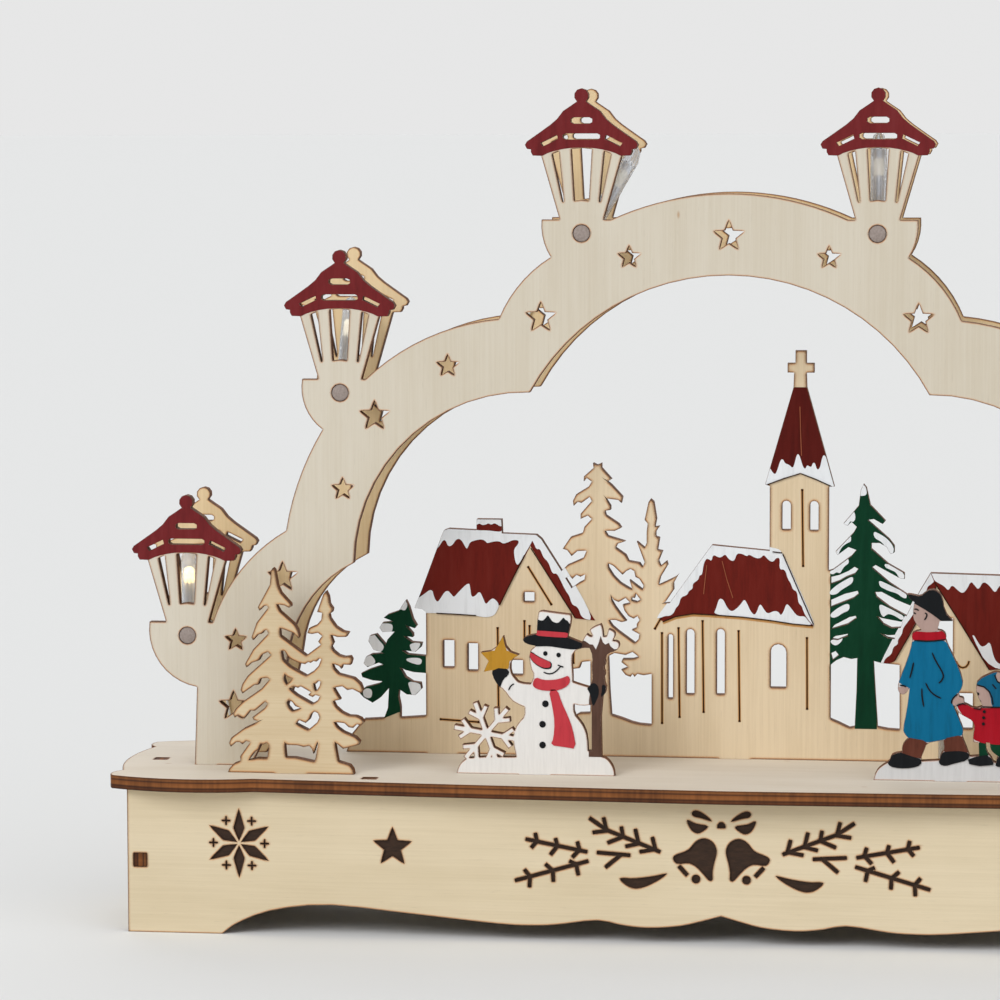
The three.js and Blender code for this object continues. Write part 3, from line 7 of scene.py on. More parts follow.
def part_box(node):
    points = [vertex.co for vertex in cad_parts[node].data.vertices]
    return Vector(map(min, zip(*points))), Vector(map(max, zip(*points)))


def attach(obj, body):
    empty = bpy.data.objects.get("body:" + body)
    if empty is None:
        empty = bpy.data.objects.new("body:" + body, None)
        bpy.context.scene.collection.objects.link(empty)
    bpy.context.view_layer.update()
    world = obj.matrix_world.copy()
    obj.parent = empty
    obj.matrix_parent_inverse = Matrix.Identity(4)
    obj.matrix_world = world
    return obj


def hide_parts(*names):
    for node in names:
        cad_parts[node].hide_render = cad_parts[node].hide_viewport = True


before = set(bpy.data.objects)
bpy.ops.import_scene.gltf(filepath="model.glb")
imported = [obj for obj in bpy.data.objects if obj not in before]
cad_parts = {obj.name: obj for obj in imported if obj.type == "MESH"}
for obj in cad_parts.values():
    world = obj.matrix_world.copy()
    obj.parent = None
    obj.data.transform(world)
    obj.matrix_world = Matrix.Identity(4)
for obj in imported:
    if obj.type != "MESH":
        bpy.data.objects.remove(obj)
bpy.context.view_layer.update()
bpy.ops.object.select_all(action="DESELECT")


# The camera stands a metre and a half in front, a little right of the arch's middle, and looks
# slightly down and to the left through a long lens. Its frame cuts off the arch's right end.
camera_place = (0.11595, -1.52616, 0.31025)
yaw, pitch, roll = math.radians(-7.6046), math.radians(-5.4942), math.radians(-0.1303)
sensor_width, focal_pixels, picture_pixels = 36, 4064.19, 1000
ahead = Vector((math.sin(yaw) * math.cos(pitch), math.cos(yaw) * math.cos(pitch), math.sin(pitch)))
level_right = Vector((math.cos(yaw), -math.sin(yaw), 0))
level_up = level_right.cross(ahead)
camera_right = math.cos(roll) * level_right + math.sin(roll) * level_up
camera_up = math.cos(roll) * level_up - math.sin(roll) * level_right
bpy.ops.object.camera_add()
camera = bpy.context.object
camera.name = "camera"
camera.matrix_world = Matrix.Translation(camera_place) @ Matrix(
    (camera_right, camera_up, -ahead)
).transposed().to_4x4()
camera.data.sensor_width = sensor_width
camera.data.lens = sensor_width * focal_pixels / picture_pixels
camera.data.clip_end = 50
bpy.context.scene.camera = camera
bpy.context.scene.view_settings.view_transform = "Standard"


# The base is a box of 5 mm birch plywood: two long panels and two ends, tenoned together.
# The laser leaves the cut walls brown, in layers, and tints the faces beside each cut.
length_way, depth_way, height_way = 0, 1, 2
base_ply = 0.005
knot_brown = (164, 120, 76)


def linear(red, green, blue):
    shares = (red / 255, green / 255, blue / 255)
    return tuple(
        share / 12.92 if share <= 0.04045 else ((share + 0.055) / 1.055) ** 2.4 for share in shares
    ) + (1,)


def shaded(colour, share):
    return [min(255, part * share) for part in colour]


def feed(node, socket, value):
    if isinstance(value, bpy.types.NodeSocket):
        node.id_data.links.new(value, node.inputs[socket])
    else:
        node.inputs[socket].default_value = value


def add_node(owner, kind, inputs=None, **settings):
    node = owner.node_tree.nodes.new(kind)
    for setting, value in settings.items():
        setattr(node, setting, value)
    for socket, value in (inputs or {}).items():
        feed(node, socket, value)
    return node


def calculate(owner, operation, first, second=0.0):
    return add_node(owner, "ShaderNodeMath", {0: first, 1: second}, operation=operation).outputs[0]


def mixture(material, first, *others):
    total = calculate(material, "MULTIPLY", *first)
    for part in others:
        total = calculate(material, "ADD", total, calculate(material, "MULTIPLY", *part))
    return total


def rescale(owner, value, from_low=0, from_high=1, to_low=0, to_high=1):
    return add_node(owner, "ShaderNodeMapRange", {
        "Value": value, "From Min": from_low, "From Max": from_high, "To Min": to_low,
        "To Max": to_high}).outputs[0]


def blend_colours(material, share, first, second, way="MIX"):
    inputs = {0: share, 6: first, 7: second}
    node = add_node(material, "ShaderNodeMix", inputs, data_type="RGBA", blend_type=way)
    return node.outputs[2]


def stretched(material, scale, shift=(0, 0, 0)):
    coordinates = add_node(material, "ShaderNodeTexCoord").outputs["Object"]
    inputs = {"Vector": coordinates, "Scale": scale, "Location": shift}
    return add_node(material, "ShaderNodeMapping", inputs).outputs[0]


def stretched_noise(material, scale, detail=3, roughness=0.6, shift=(0, 0, 0)):
    noise = add_node(material, "ShaderNodeTexNoise", {
        "Vector": stretched(material, scale, shift), "Scale": 1.0, "Detail": detail,
        "Roughness": roughness})
    return noise.outputs["Fac"]


def ramp(material, share, stops):
    node = add_node(material, "ShaderNodeValToRGB", {"Fac": share})
    elements = node.color_ramp.elements
    while len(elements) < len(stops):
        elements.new(0.5)
    for element, (place, colour) in zip(elements, stops):
        element.position = place
        element.color = colour
    return node.outputs["Color"]


def colour_ramp(material, share, stops):
    return ramp(material, share, [(place, linear(*colour)) for place, colour in stops])


def share_ramp(material, share, stops):
    return ramp(material, share, [(place, (level, level, level, 1)) for place, level in stops])


def along(grain, grain_scale, cross_scale):
    return tuple(grain_scale if axis == grain else cross_scale for axis in range(3))


def set_shader(material, socket, value):
    feed(material.node_tree.nodes["Principled BSDF"], socket, value)


def new_finish(name, constants):
    material = bpy.data.materials.new(name)
    material.use_nodes = True
    for socket, value in constants.items():
        set_shader(material, socket, value)
    return material


def raise_grain(material, height, strength, distance=0.0001):
    inputs = {"Height": height, "Strength": strength, "Distance": distance}
    set_shader(material, "Normal", add_node(material, "ShaderNodeBump", inputs).outputs[0])


def wood_face(material, streaks, light, dark, grain):
    bands = stretched_noise(material, along(grain, 4, 90), 2, 0.5, (3, 7, 1))
    clouds = stretched_noise(material, along(grain, 12, 32), 3, 0.6, (9, 2, 5))
    tone = mixture(material, (streaks, 0.34), (bands, 0.26), (clouds, 0.4))
    face = colour_ramp(material, tone, [(0.38, dark), (0.6, light)])
    pores = stretched_noise(material, along(grain, 160, 3200), 2, 0.5, (1, 4, 8))
    pore_share = share_ramp(material, pores, [(0.66, 0), (0.76, 0.2)])
    face = blend_colours(material, pore_share, face, linear(*shaded(dark, 0.75)))
    knots = add_node(material, "ShaderNodeTexVoronoi", {
        "Vector": stretched(material, along(grain, 24, 58)), "Scale": 1.0})
    knot_share = rescale(material, knots.outputs["Distance"], 0.015, 0.045, 0.6, 0)
    return blend_colours(material, knot_share, face, linear(*knot_brown))


def burnt_face(material, face, halo):
    rounded = add_node(material, "ShaderNodeBevel", {"Radius": halo}, samples=8)
    geometry = add_node(material, "ShaderNodeNewGeometry")
    normals = {0: rounded.outputs[0], 1: geometry.outputs["Normal"]}
    turned = add_node(material, "ShaderNodeVectorMath", normals, operation="DOT_PRODUCT")
    nearness = rescale(material, turned.outputs["Value"], 1, 0.74)
    char = colour_ramp(material, nearness, [
        (0, (216, 160, 92)), (0.3, (192, 118, 50)), (0.55, (128, 70, 28)), (0.85, (54, 29, 14))])
    charred = share_ramp(material, nearness, [(0.03, 0), (0.16, 0.42), (0.45, 0.8), (0.85, 0.96)])
    return blend_colours(material, charred, face, char)


def cut_wall(material, across, through):
    plies = colour_ramp(material, across, [
        (0, (54, 28, 13)), (0.16, (88, 49, 23)), (0.28, (58, 31, 15)), (0.4, (132, 82, 42)),
        (0.62, (122, 73, 36)), (0.72, (64, 35, 17)), (0.84, (126, 79, 42)), (1, (74, 41, 20))])
    lines = stretched_noise(material, along(through, 40, 700), 2, 0.5, (2, 2, 2))
    patches = stretched_noise(material, (60, 60, 60), 3, 0.6, (6, 1, 3))
    soot = ramp(material, mixture(material, (lines, 0.4), (patches, 0.6)), [
        (0.38, (0.62, 0.58, 0.54, 1)), (0.6, (1.15, 1.12, 1.08, 1))])
    return blend_colours(material, 1.0, plies, soot, "MULTIPLY")


def dress(material, *names):
    for name in names:
        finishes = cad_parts[name].data.materials
        finishes.clear()
        finishes.append(material)


def birch(panel, name, light, dark, through, grain, thickness, halo=0.0015, front_paint=None,
          engraved=None):
    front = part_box(panel)[0][through]
    material = new_finish(name, {"Specular IOR Level": 0.22})
    coordinates = add_node(material, "ShaderNodeTexCoord").outputs
    place = add_node(material, "ShaderNodeSeparateXYZ", {0: coordinates["Object"]}).outputs[through]
    facing = add_node(material, "ShaderNodeSeparateXYZ", {0: coordinates["Normal"]}).outputs[through]
    streaks = stretched_noise(material, along(grain, 24, 1500), 4)
    face = wood_face(material, streaks, light, dark, grain)
    toward = calculate(material, "LESS_THAN", facing, -0.5)
    if front_paint:
        strokes = stretched_noise(material, along(grain, 60, 900), 3, 0.6, (5, 5, 2))
        brushed = colour_ramp(
            material, strokes, [(0.3, shaded(front_paint, 0.965)), (0.6, front_paint)]
        )
        face = blend_colours(material, toward, face, brushed)
    face = burnt_face(material, face, halo)
    if engraved:
        depth, soot_brown = engraved
        sunk = calculate(material, "GREATER_THAN", place, front + depth)
        scorch = colour_ramp(material, stretched_noise(material, (300, 300, 900), 4, 0.7), [
            (0.35, shaded(soot_brown, 0.85)), (0.65, shaded(soot_brown, 1.12))])
        face = blend_colours(material, calculate(material, "MULTIPLY", sunk, toward), face, scorch)
    across = calculate(material, "SUBTRACT", place, front)
    wall = cut_wall(material, calculate(material, "DIVIDE", across, thickness), through)
    is_face = calculate(material, "GREATER_THAN", calculate(material, "ABSOLUTE", facing), 0.5)
    set_shader(material, "Base Color", blend_colours(material, is_face, wall, face))
    set_shader(material, "Roughness", rescale(material, streaks, to_low=0.6, to_high=0.8))
    raise_grain(material, streaks, 0.3)
    dress(material, panel)


birch("base_front_panel", "base_front_birch", (217, 202, 173), (206, 190, 159), depth_way,
      length_way, base_ply, halo=0.0016, engraved=(0.0004, (52, 36, 26)))
birch("base_back_panel", "base_back_birch", (204, 187, 155), (192, 172, 138), depth_way,
      length_way, base_ply)
for side in ("left", "right"):
    birch(f"base_side_{side}", f"base_{side}_birch", (206, 189, 158), (194, 175, 142), length_way,
          depth_way, base_ply)


# The top plate lies on the base and takes the tenons of everything above. It is the same birch,
# its colour painted paler as painted light where it faces the light, with its grain along the length and a
# wavy cut edge.
plate_ply = 0.005
plate_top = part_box("top_plate")[1].z
birch("top_plate", "plate_birch_painted_light", (220, 211, 197), (210, 199, 182), height_way, length_way, plate_ply)


# The arch is two like panels of 4 mm birch plywood with the grain upright. The rear one is left
# bare; its colour is painted warmer and lighter as painted lamp light, for the lamps that shine on it.
panel_ply = 0.004
birch("arch_front_panel", "arch_birch", (207, 199, 183), (198, 188, 169), depth_way, height_way,
      panel_ply)
birch("arch_back_panel", "rear_arch_painted_lamplight", (228, 204, 164), (214, 188, 146), depth_way,
      height_way, panel_ply)


# The lanterns' roofs are painted dark red on the front panel, by brush, over the bare birch.
# A coat of paint is a thin skin on the face, trimmed where the panel is cut.
film, film_step, film_gap = 0.00009, 0.0001, 0.00001
cut_margin, trimmer_reach = 0.00018, 0.002
trimmers = {}


def mirrored(points):
    return [(-x, z) for x, z in points]


def softened(points, rounds):
    for _ in range(rounds):
        cut = []
        for (x0, z0), (x1, z1) in zip(points, points[1:] + points[:1]):
            for far in (0.25, 0.75):
                cut.append(((1 - far) * x0 + far * x1, (1 - far) * z0 + far * z1))
        points = cut
    return points


def paint(name, colour, worn=0.12, roughness=0.75):
    material = new_finish(name, {"Specular IOR Level": 0.12, "Roughness": roughness})
    strokes = stretched_noise(material, (420, 420, 60), 4, 0.65)
    specks = stretched_noise(material, (1500, 1500, 900), 2, 0.5, (4, 1, 6))
    thin = [part + (255 - part) * worn * 0.25 for part in colour]
    brushed = colour_ramp(
        material, strokes, [(0.3, shaded(colour, 1 - worn)), (0.5, colour), (0.72, thin)]
    )
    fleck = share_ramp(material, specks, [(0.62, 0), (0.75, 0.3)])
    set_shader(material, "Base Color", blend_colours(material, fleck, brushed, linear(*thin)))
    raise_grain(material, strokes, 0.4)
    return material


def pick(*pieces):
    bpy.ops.object.select_all(action="DESELECT")
    for piece in pieces:
        piece.select_set(True)
    bpy.context.view_layer.objects.active = pieces[0]


def merge(pieces, name):
    pick(*pieces)
    if len(pieces) > 1:
        bpy.ops.object.join()
    merged = bpy.context.object
    merged.name = name
    merged.data.name = name
    return merged


def trimmer_for(panel):
    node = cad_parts[panel]
    copy = node.copy()
    copy.data = node.data.copy()
    copy.parent = None
    copy.matrix_world = Matrix.Identity(4)
    bpy.context.collection.objects.link(copy)
    pick(copy)
    bpy.ops.object.mode_set(mode="EDIT")
    bpy.ops.mesh.select_all(action="SELECT")
    bpy.ops.mesh.remove_doubles(threshold=1e-6)
    bpy.ops.transform.shrink_fatten(value=-cut_margin)
    bpy.ops.transform.translate(value=(0, -trimmer_reach, 0))
    bpy.ops.object.mode_set(mode="OBJECT")
    return copy


def coat(panel, name, outlines, layer, finish, rounds=2):
    if panel not in trimmers:
        trimmers[panel] = trimmer_for(panel)
    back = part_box(panel)[0].y - film_gap - film_step * (layer - 1)
    sheets = []
    for outline in outlines:
        points = softened(outline, rounds)
        bpy.ops.object.select_all(action="DESELECT")
        bpy.ops.mesh.primitive_circle_add(vertices=len(points), radius=0.01, fill_type="NGON")
        sheet = bpy.context.object
        for vertex, (x, z) in zip(sheet.data.vertices, points):
            vertex.co = (x / 1000, back, plate_top + z / 1000)
        sheets.append(sheet)
    skin = merge(sheets, name)
    bpy.ops.object.mode_set(mode="EDIT")
    bpy.ops.mesh.select_all(action="SELECT")
    bpy.ops.mesh.extrude_region_move(TRANSFORM_OT_translate={"value": (0, -film, 0)})
    bpy.ops.mesh.select_all(action="SELECT")
    bpy.ops.mesh.normals_make_consistent(inside=False)
    bpy.ops.object.mode_set(mode="OBJECT")
    trim = skin.modifiers.new("trim", "BOOLEAN")
    trim.operation = "INTERSECT"
    trim.solver = "EXACT"
    trim.object = trimmers[panel]
    bpy.ops.object.modifier_apply(modifier="trim")
    skin.data.materials.clear()
    skin.data.materials.append(finish)
    return skin


def painted(name, panel, coats):
    piece = merge([coat(panel, *row) for row in coats], name)
    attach(piece, "stand")


left_lanterns = [(-207, 54.9), (-147.2, 148.4), (-55.2, 208.8)]
lantern_places = left_lanterns + mirrored(left_lanterns)
roof_half = [
    (0, 27), (6, 26.6), (12, 25.2), (15.1, 23.6), (18.5, 23.2), (22, 23), (23, 33), (8, 46), (6, 52),
]
roof_outline = roof_half + mirrored(reversed(roof_half[1:]))
lantern_roofs = [[(cx + x, cz + z) for x, z in roof_outline] for cx, cz in lantern_places]
painted("lantern_roof_paint", "arch_front_panel", [
    ("lantern_roofs", lantern_roofs, 1, paint("lantern_red", (108, 34, 36)), 1),
])


# Six beech pegs hold the two arch panels apart, one under each lantern, through a hole in each
# panel. They are cut from rod about 6 mm thick, and their greyish ends are lightly chamfered.
def peg_wood(name):
    material = new_finish(name, {"Roughness": 0.7})
    grain = stretched_noise(material, (1500, 30, 1500))
    tone = colour_ramp(material, grain, [
        (0.3, (132, 119, 112)), (0.5, (144, 131, 124)), (0.7, (154, 142, 135))])
    set_shader(material, "Base Color", tone)
    raise_grain(material, grain, 0.3)
    return material


def rod(sides, radius, length, middle, turn=(0, 0, 0)):
    bpy.ops.object.select_all(action="DESELECT")
    bpy.ops.mesh.primitive_cylinder_add(
        vertices=sides, radius=radius, depth=length, location=middle, rotation=turn
    )
    bpy.ops.object.transform_apply(location=True, rotation=True, scale=True)
    return bpy.context.object


def round_off(piece, width, segments, limit):
    rounding = piece.modifiers.new("rounding", "BEVEL")
    rounding.width = width
    rounding.segments = segments
    rounding.limit_method = limit
    bpy.ops.object.modifier_apply(modifier="rounding")


def stand_for(piece, node):
    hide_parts(node)
    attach(piece, "stand")


peg_chamfer = 0.0003
beech = peg_wood("beech")
for number in range(1, len(lantern_places) + 1):
    low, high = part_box(f"dowel_{number}")
    peg = rod(32, (high.x - low.x) / 2, high.y - low.y, (low + high) / 2, (math.pi / 2, 0, 0))
    peg.name = f"peg_{number}"
    round_off(peg, peg_chamfer, 2, "ANGLE")
    bpy.ops.object.shade_smooth_by_angle(angle=math.radians(30))
    peg.data.materials.append(beech)
    stand_for(peg, f"dowel_{number}")


# Each lamp is a clear plastic tube, moulded with a cut-glass tip and open below, with a warm
# white light emitting diode on its two leads inside. It stands on its peg or on the plate.
def clear_plastic(name):
    material = new_finish(name, {
        "Base Color": linear(243, 245, 249), "Transmission Weight": 0.7, "IOR": 1.46})
    ripple = stretched_noise(material, (260, 260, 260), 2, 0.5)
    set_shader(material, "Roughness", rescale(material, ripple, to_low=0.04, to_high=0.2))
    raise_grain(material, ripple, 0.2, 0.0002)
    return material


def glow(name, colour, strength):
    material = new_finish(name, {"Emission Strength": strength, "Roughness": 0.3})
    body = colour_ramp(material, stretched_noise(material, (700, 700, 700), 2), [
        (0.3, colour), (0.7, shaded(colour, 1.08))])
    set_shader(material, "Base Color", body)
    set_shader(material, "Emission Color", body)
    return material


def lead_metal(name):
    material = new_finish(name, {"Metallic": 1, "Roughness": 0.35})
    tarnish = colour_ramp(material, stretched_noise(material, (900, 900, 120)), [
        (0.3, (150, 148, 142)), (0.7, (196, 194, 188))])
    set_shader(material, "Base Color", tarnish)
    return material


def select_faces(piece, wanted):
    bpy.ops.object.mode_set(mode="OBJECT")
    for part in (piece.data.vertices, piece.data.edges, piece.data.polygons):
        for item in part:
            item.select = False
    for face in piece.data.polygons:
        face.select = wanted(face)
    bpy.ops.object.mode_set(mode="EDIT")
    bpy.ops.mesh.select_mode(type="FACE")


def draw_out(rise, share=None):
    bpy.ops.mesh.extrude_region_move(TRANSFORM_OT_translate={"value": (0, 0, rise)})
    if share:
        bpy.ops.transform.resize(value=(share, share, 1))


tube_radius, tube_length, tube_wall, tube_roof = 0.0031, 0.0344, 0.0008, 0.002
tip_length, point_length, crown_share, point_share, bore_share = 0.005, 0.0014, 0.62, 0.12, 0.1
barrel = tube_length - tip_length
tube = rod(16, tube_radius, barrel, (0, 0, barrel / 2))
select_faces(tube, lambda face: face.normal.z > 0.9)
draw_out(tip_length - point_length, crown_share)
draw_out(point_length, point_share)
select_faces(tube, lambda face: face.normal.z < -0.9)
bpy.ops.mesh.inset(thickness=tube_wall)
draw_out(barrel - tube_roof)
draw_out(point_length, bore_share)
bpy.ops.object.mode_set(mode="OBJECT")
bpy.ops.object.shade_smooth_by_angle(angle=math.radians(24))
tube.data.materials.append(clear_plastic("clear_plastic"))

diode_radius, diode_length, diode_middle, dome_height = 0.0019, 0.0065, 0.02125, 0.00165
diode_metal = lead_metal("diode_leads")
diode = rod(20, diode_radius, diode_length, (0, 0, diode_middle))
weights = diode.data.attributes.new("bevel_weight_edge", "FLOAT", "EDGE")
for edge in diode.data.edges:
    ends = [diode.data.vertices[corner].co.z for corner in edge.vertices]
    weights.data[edge.index].value = 1.0 if min(ends) > diode_middle else 0.0
round_off(diode, dome_height, 5, "WEIGHT")
bpy.ops.object.shade_smooth_by_angle(angle=math.radians(50))
lead_radius, lead_length, lead_gap, lead_foot = 0.00022, 0.0178, 0.0006, 0.0003
leads = []
for offset in (-lead_gap, lead_gap):
    lead = rod(8, lead_radius, lead_length, (offset, 0, lead_foot + lead_length / 2))
    lead.data.materials.append(diode_metal)
    leads.append(lead)

lamp_y, peg_drop, peg_radius, rest_gap = -0.0044, 0.0051, 0.00315, 0.0003
lamp_leans = [(44.24, -9, -0.5), (28, 0, 0.5), (0, 30, 3.2), (0, 0, 0), (0, 0, 0), (0, 0, 0)]
plate_lamp_places = (-0.070, 0.082)
lamp_glows = [3.4, 1.2, 0.3, 0.3, 0.4, 0.4, 0.5, 0.5]
amber, warm_white = (250, 214, 156), (243, 229, 205)
lamp_places = []
for (cx, cz), (back, lean, aside) in zip(lantern_places, lamp_leans):
    back, lean = math.radians(back), math.radians(lean)
    reach = peg_radius + rest_gap + math.sin(back) * tube_radius - math.sin(lean) * aside / 1000
    foot = (
        (cx + aside) / 1000, lamp_y, plate_top + cz / 1000 - peg_drop + reach / math.cos(lean)
    )
    turn = Matrix.Rotation(-back, 4, "X") @ Matrix.Rotation(lean, 4, "Y")
    lamp_places.append(Matrix.Translation(foot) @ turn)
for x in plate_lamp_places:
    lamp_places.append(Matrix.Translation((x, lamp_y, plate_top + rest_gap)))


def copied(piece, name, place):
    copy = piece.copy()
    copy.data = piece.data.copy()
    copy.name = name
    copy.data.name = name
    bpy.context.collection.objects.link(copy)
    pick(copy)
    copy.matrix_world = place
    bpy.ops.object.transform_apply(location=True, rotation=True, scale=True)
    return copy


for number, (place, strength) in enumerate(zip(lamp_places, lamp_glows), 1):
    shell = copied(tube, f"clear_tube_{number}", place)
    stand_for(shell, f"lamp_tube_{number}")
    bulb = copied(diode, f"diode_{number}", place)
    tint = amber if number == 1 else warm_white
    bulb.data.materials.append(glow(f"warm_glow_{number}", tint, strength))
    stems = [copied(lead, f"lead_{number}", place) for lead in leads]
    bulb = merge([bulb] + stems, f"diode_{number}")
    stand_for(bulb, f"lamp_light_{number}")
for pattern in [tube, diode] + leads:
    bpy.data.objects.remove(pattern)


# The village is one 4 mm birch panel cut to the outline of its ground, houses, church and trees.
# Roofs and the green trees are painted by hand on the front, with white snow over the red.
birch("village_panel", "village_birch", (222, 203, 172), (206, 185, 152), depth_way, height_way,
      panel_ply, halo=0.0023)
roof_red = paint("roof_red", (100, 26, 18))
snow_white = paint("snow_white", (226, 229, 232), 0.05, 0.85)
fir_green = paint("fir_green", (2, 52, 31))
house_roof = [
    (-126.5, 57.6), (-125.7, 61), (-117.7, 91.2), (-101.7, 92), (-101.7, 93.3), (-90, 93.5),
    (-90, 89.9), (-78.6, 89.4), (-79.5, 81.4), (-91.5, 58.7), (-93.2, 56),
]
house_gable_board = [(-79.5, 82.1), (-61.8, 53.8), (-54.1, 53.1), (-76.4, 87.8), (-79.1, 89.4)]
house_roof_snow = [
    (-118.8, 78.9), (-115, 92), (-102, 90.6), (-101.4, 88.4), (-100.2, 87.6), (-96, 87.7),
    (-91.2, 87.1), (-90.2, 87.8), (-89.8, 90.6), (-79.1, 90.4), (-76.9, 87.2),
    (-79, 83), (-79.7, 81.6), (-81.4, 78.8), (-83.1, 75.8),
    (-84.3, 74.1), (-85.2, 75.5), (-85.7, 78.8), (-85.6, 80.7), (-83.9, 82.6), (-83.9, 84),
    (-86.1, 84.1), (-88.1, 83.1), (-90, 82.5), (-91.4, 83.6), (-94.2, 83.3), (-96.2, 82.6),
    (-96.7, 83.4), (-98.1, 84.2), (-100.4, 83.9), (-103, 83), (-103.6, 81.1), (-104.3, 80.3),
    (-105.3, 82.2), (-106.1, 83.6), (-107.3, 84.4), (-108.5, 83.8), (-109.6, 82), (-110.9, 81.2),
    (-111.8, 81.9), (-112.2, 83.2), (-113.2, 84), (-114.8, 81.5), (-116.6, 79.5),
]
house_gable_snow = [
    (-79.5, 85.2), (-78, 83.1), (-77, 80.5), (-75.5, 80.8), (-74.2, 77.3), (-72.2, 75.6),
    (-70.7, 70.9), (-69, 71.5), (-67.2, 67.9), (-65.8, 64.9), (-64, 62.4), (-63.2, 59.2),
    (-60.7, 58.3), (-59.3, 53.8), (-54.1, 53.1), (-65.8, 74), (-75.8, 88.4), (-79.1, 89.4),
]
house_eave_snow = [
    (-126.5, 56.5), (-124.5, 60.3), (-121.7, 61.9), (-117.9, 64.9), (-117, 61.1), (-115.8, 59.3),
    (-114.7, 60.6), (-113, 63.4), (-111.6, 64), (-110.5, 62.9), (-109.3, 61.3), (-108, 62.9),
    (-103.3, 67.7), (-102.8, 64.6), (-102.4, 61.6), (-101, 61.9), (-99.2, 64.1), (-97.9, 61.4),
    (-96.8, 58.6), (-95.4, 60.3), (-93.8, 61.5), (-91.4, 58.9), (-92.5, 56.1), (-93.7, 54.4),
    (-96.6, 53.7), (-100.3, 54.2), (-100.7, 54.5), (-116.1, 55.2), (-121.2, 55), (-122.3, 56),
    (-124, 56),
]
chimney_snow = [
    (-102.5, 94), (-89, 94), (-89.2, 89.8), (-91, 89.2), (-92.2, 90), (-93.4, 90.6),
    (-94.5, 89.8), (-95.6, 90.5), (-96.7, 89.9), (-98.1, 89.7), (-99.3, 90.4), (-100.3, 89.7),
    (-102.5, 89.8),
]
church_roof = [
    (-28.6, 53.4), (-27.3, 53.3), (-22.9, 55.2), (-16.3, 56.4), (-10.7, 56.2), (-8.3, 56.1),
    (3, 55.4), (14, 54.2), (22.3, 53), (30.4, 52.4), (18, 80.2), (15.6, 81.4), (-9.3, 83.3),
    (-25.6, 60.2), (-29.4, 54.7),
]
church_roof_snow = [
    (-29.5, 54.2), (-27, 55.3), (-25.1, 55.3), (-23.6, 56.5), (-22.9, 58.4), (-21.6, 59.6),
    (-21, 62.6), (-18.4, 63.5), (-17.8, 65.2), (-16.3, 65.9), (-16.4, 68), (-14.1, 69.4),
    (-13.8, 71.3), (-12.7, 71.3), (-12.2, 75.5), (-11.2, 77.7), (-10, 77.5), (-9.1, 76.7),
    (-8.5, 79.4), (-6.4, 78.2), (-5.3, 78.3), (-3.8, 79.6), (-2.7, 77.9), (-1.4, 76.9),
    (-0.2, 77.1), (0.6, 79.9), (2.7, 79.8), (4.6, 78.7), (5.3, 79.6), (7.9, 78.1), (9.8, 78.1),
    (11, 79.6), (12.3, 78), (13.8, 76.8), (14.9, 77), (15.8, 78.4), (17.3, 78.3), (16.9, 73.8),
    (19.2, 74), (20.3, 70.1), (21.4, 68.7), (22.2, 66.1), (23.9, 65.5), (24.3, 61), (25.6, 60),
    (26.2, 58.2), (27.1, 56.1), (29.7, 52.6), (31, 52.4), (24.5, 67), (18.3, 80.6), (15.6, 82.4),
    (-10.4, 85.4), (-18, 71.9), (-25.9, 60.6), (-30.4, 54.6),
]
church_eave_snow = [
    (-8.4, 56), (-7.2, 58.7), (-6.4, 61.7), (-5.6, 62.4), (-4.4, 61.8), (-3, 58.7), (-1.4, 57.3),
    (0.3, 58.2), (2.2, 60.2), (3.6, 62.3), (4.7, 60.5), (6, 57.5), (7.5, 56), (8.5, 57.5),
    (9.2, 59.7), (9.9, 60.4), (11.3, 58.1), (12.6, 56.6), (15.1, 57.9), (16.8, 57.5), (17.6, 56),
    (18.7, 57.6), (19.6, 60.3), (20.3, 60.5), (21.7, 58.8), (23.3, 56.6), (24.7, 55.8),
    (26.9, 56), (28.3, 53.9), (29.9, 52.4), (22.3, 53), (14, 54.2), (3, 55.4),
]
spire_roof = [
    (21.3, 144), (27.3, 144), (38.4, 105.5), (36.8, 106), (25, 111), (11.6, 106.1), (10, 105.3),
]
spire_snow = [
    (9.4, 105.8), (11.9, 111.6), (13.2, 113.1), (14.2, 111.3), (15.2, 110.4), (16, 111.9),
    (17.3, 116.3), (18.3, 116.3), (19, 114.7), (20.6, 114.3), (22, 112.8), (22.8, 115.3),
    (23.5, 118.3), (24.3, 118.3), (25, 116.4), (25.9, 113.4), (26.8, 112.6), (27.4, 114.2),
    (28.3, 113.7), (29.1, 113.4), (29.6, 115.1), (30.4, 115.1), (31, 113.1), (31.5, 112.4),
    (32.4, 113.2), (33.1, 117), (33.9, 118.4), (35.1, 116.5), (38.4, 105.5), (36.2, 106.3),
    (27, 110.2), (25.6, 110.8), (25, 111.2), (24.4, 110.8), (23, 110.2), (11.6, 106.4),
]
right_gable_board = [
    (74.9, 73.1), (66.8, 60.2), (55.5, 36.8), (61.2, 38.9), (69.4, 54.4), (77, 68), (76.5, 69.8),
]
right_gable_snow = [
    (76.3, 70.2), (75, 68.9), (73.6, 68), (73.3, 66.4), (71.8, 64.7), (69.3, 58.9), (66.8, 55),
    (64.3, 51.8), (64.2, 49.8), (62.4, 47.2), (62.6, 45.6), (60.7, 44.6), (60.2, 41.7),
    (57.7, 40.1), (56.8, 37.5), (54.9, 36.8), (69.3, 64.7), (74.3, 74.4), (78.1, 74.1),
]
right_roof = [(76.2, 69.8), (97.4, 36.2), (110.6, 37.4), (110.3, 74.8), (74.3, 74.4)]
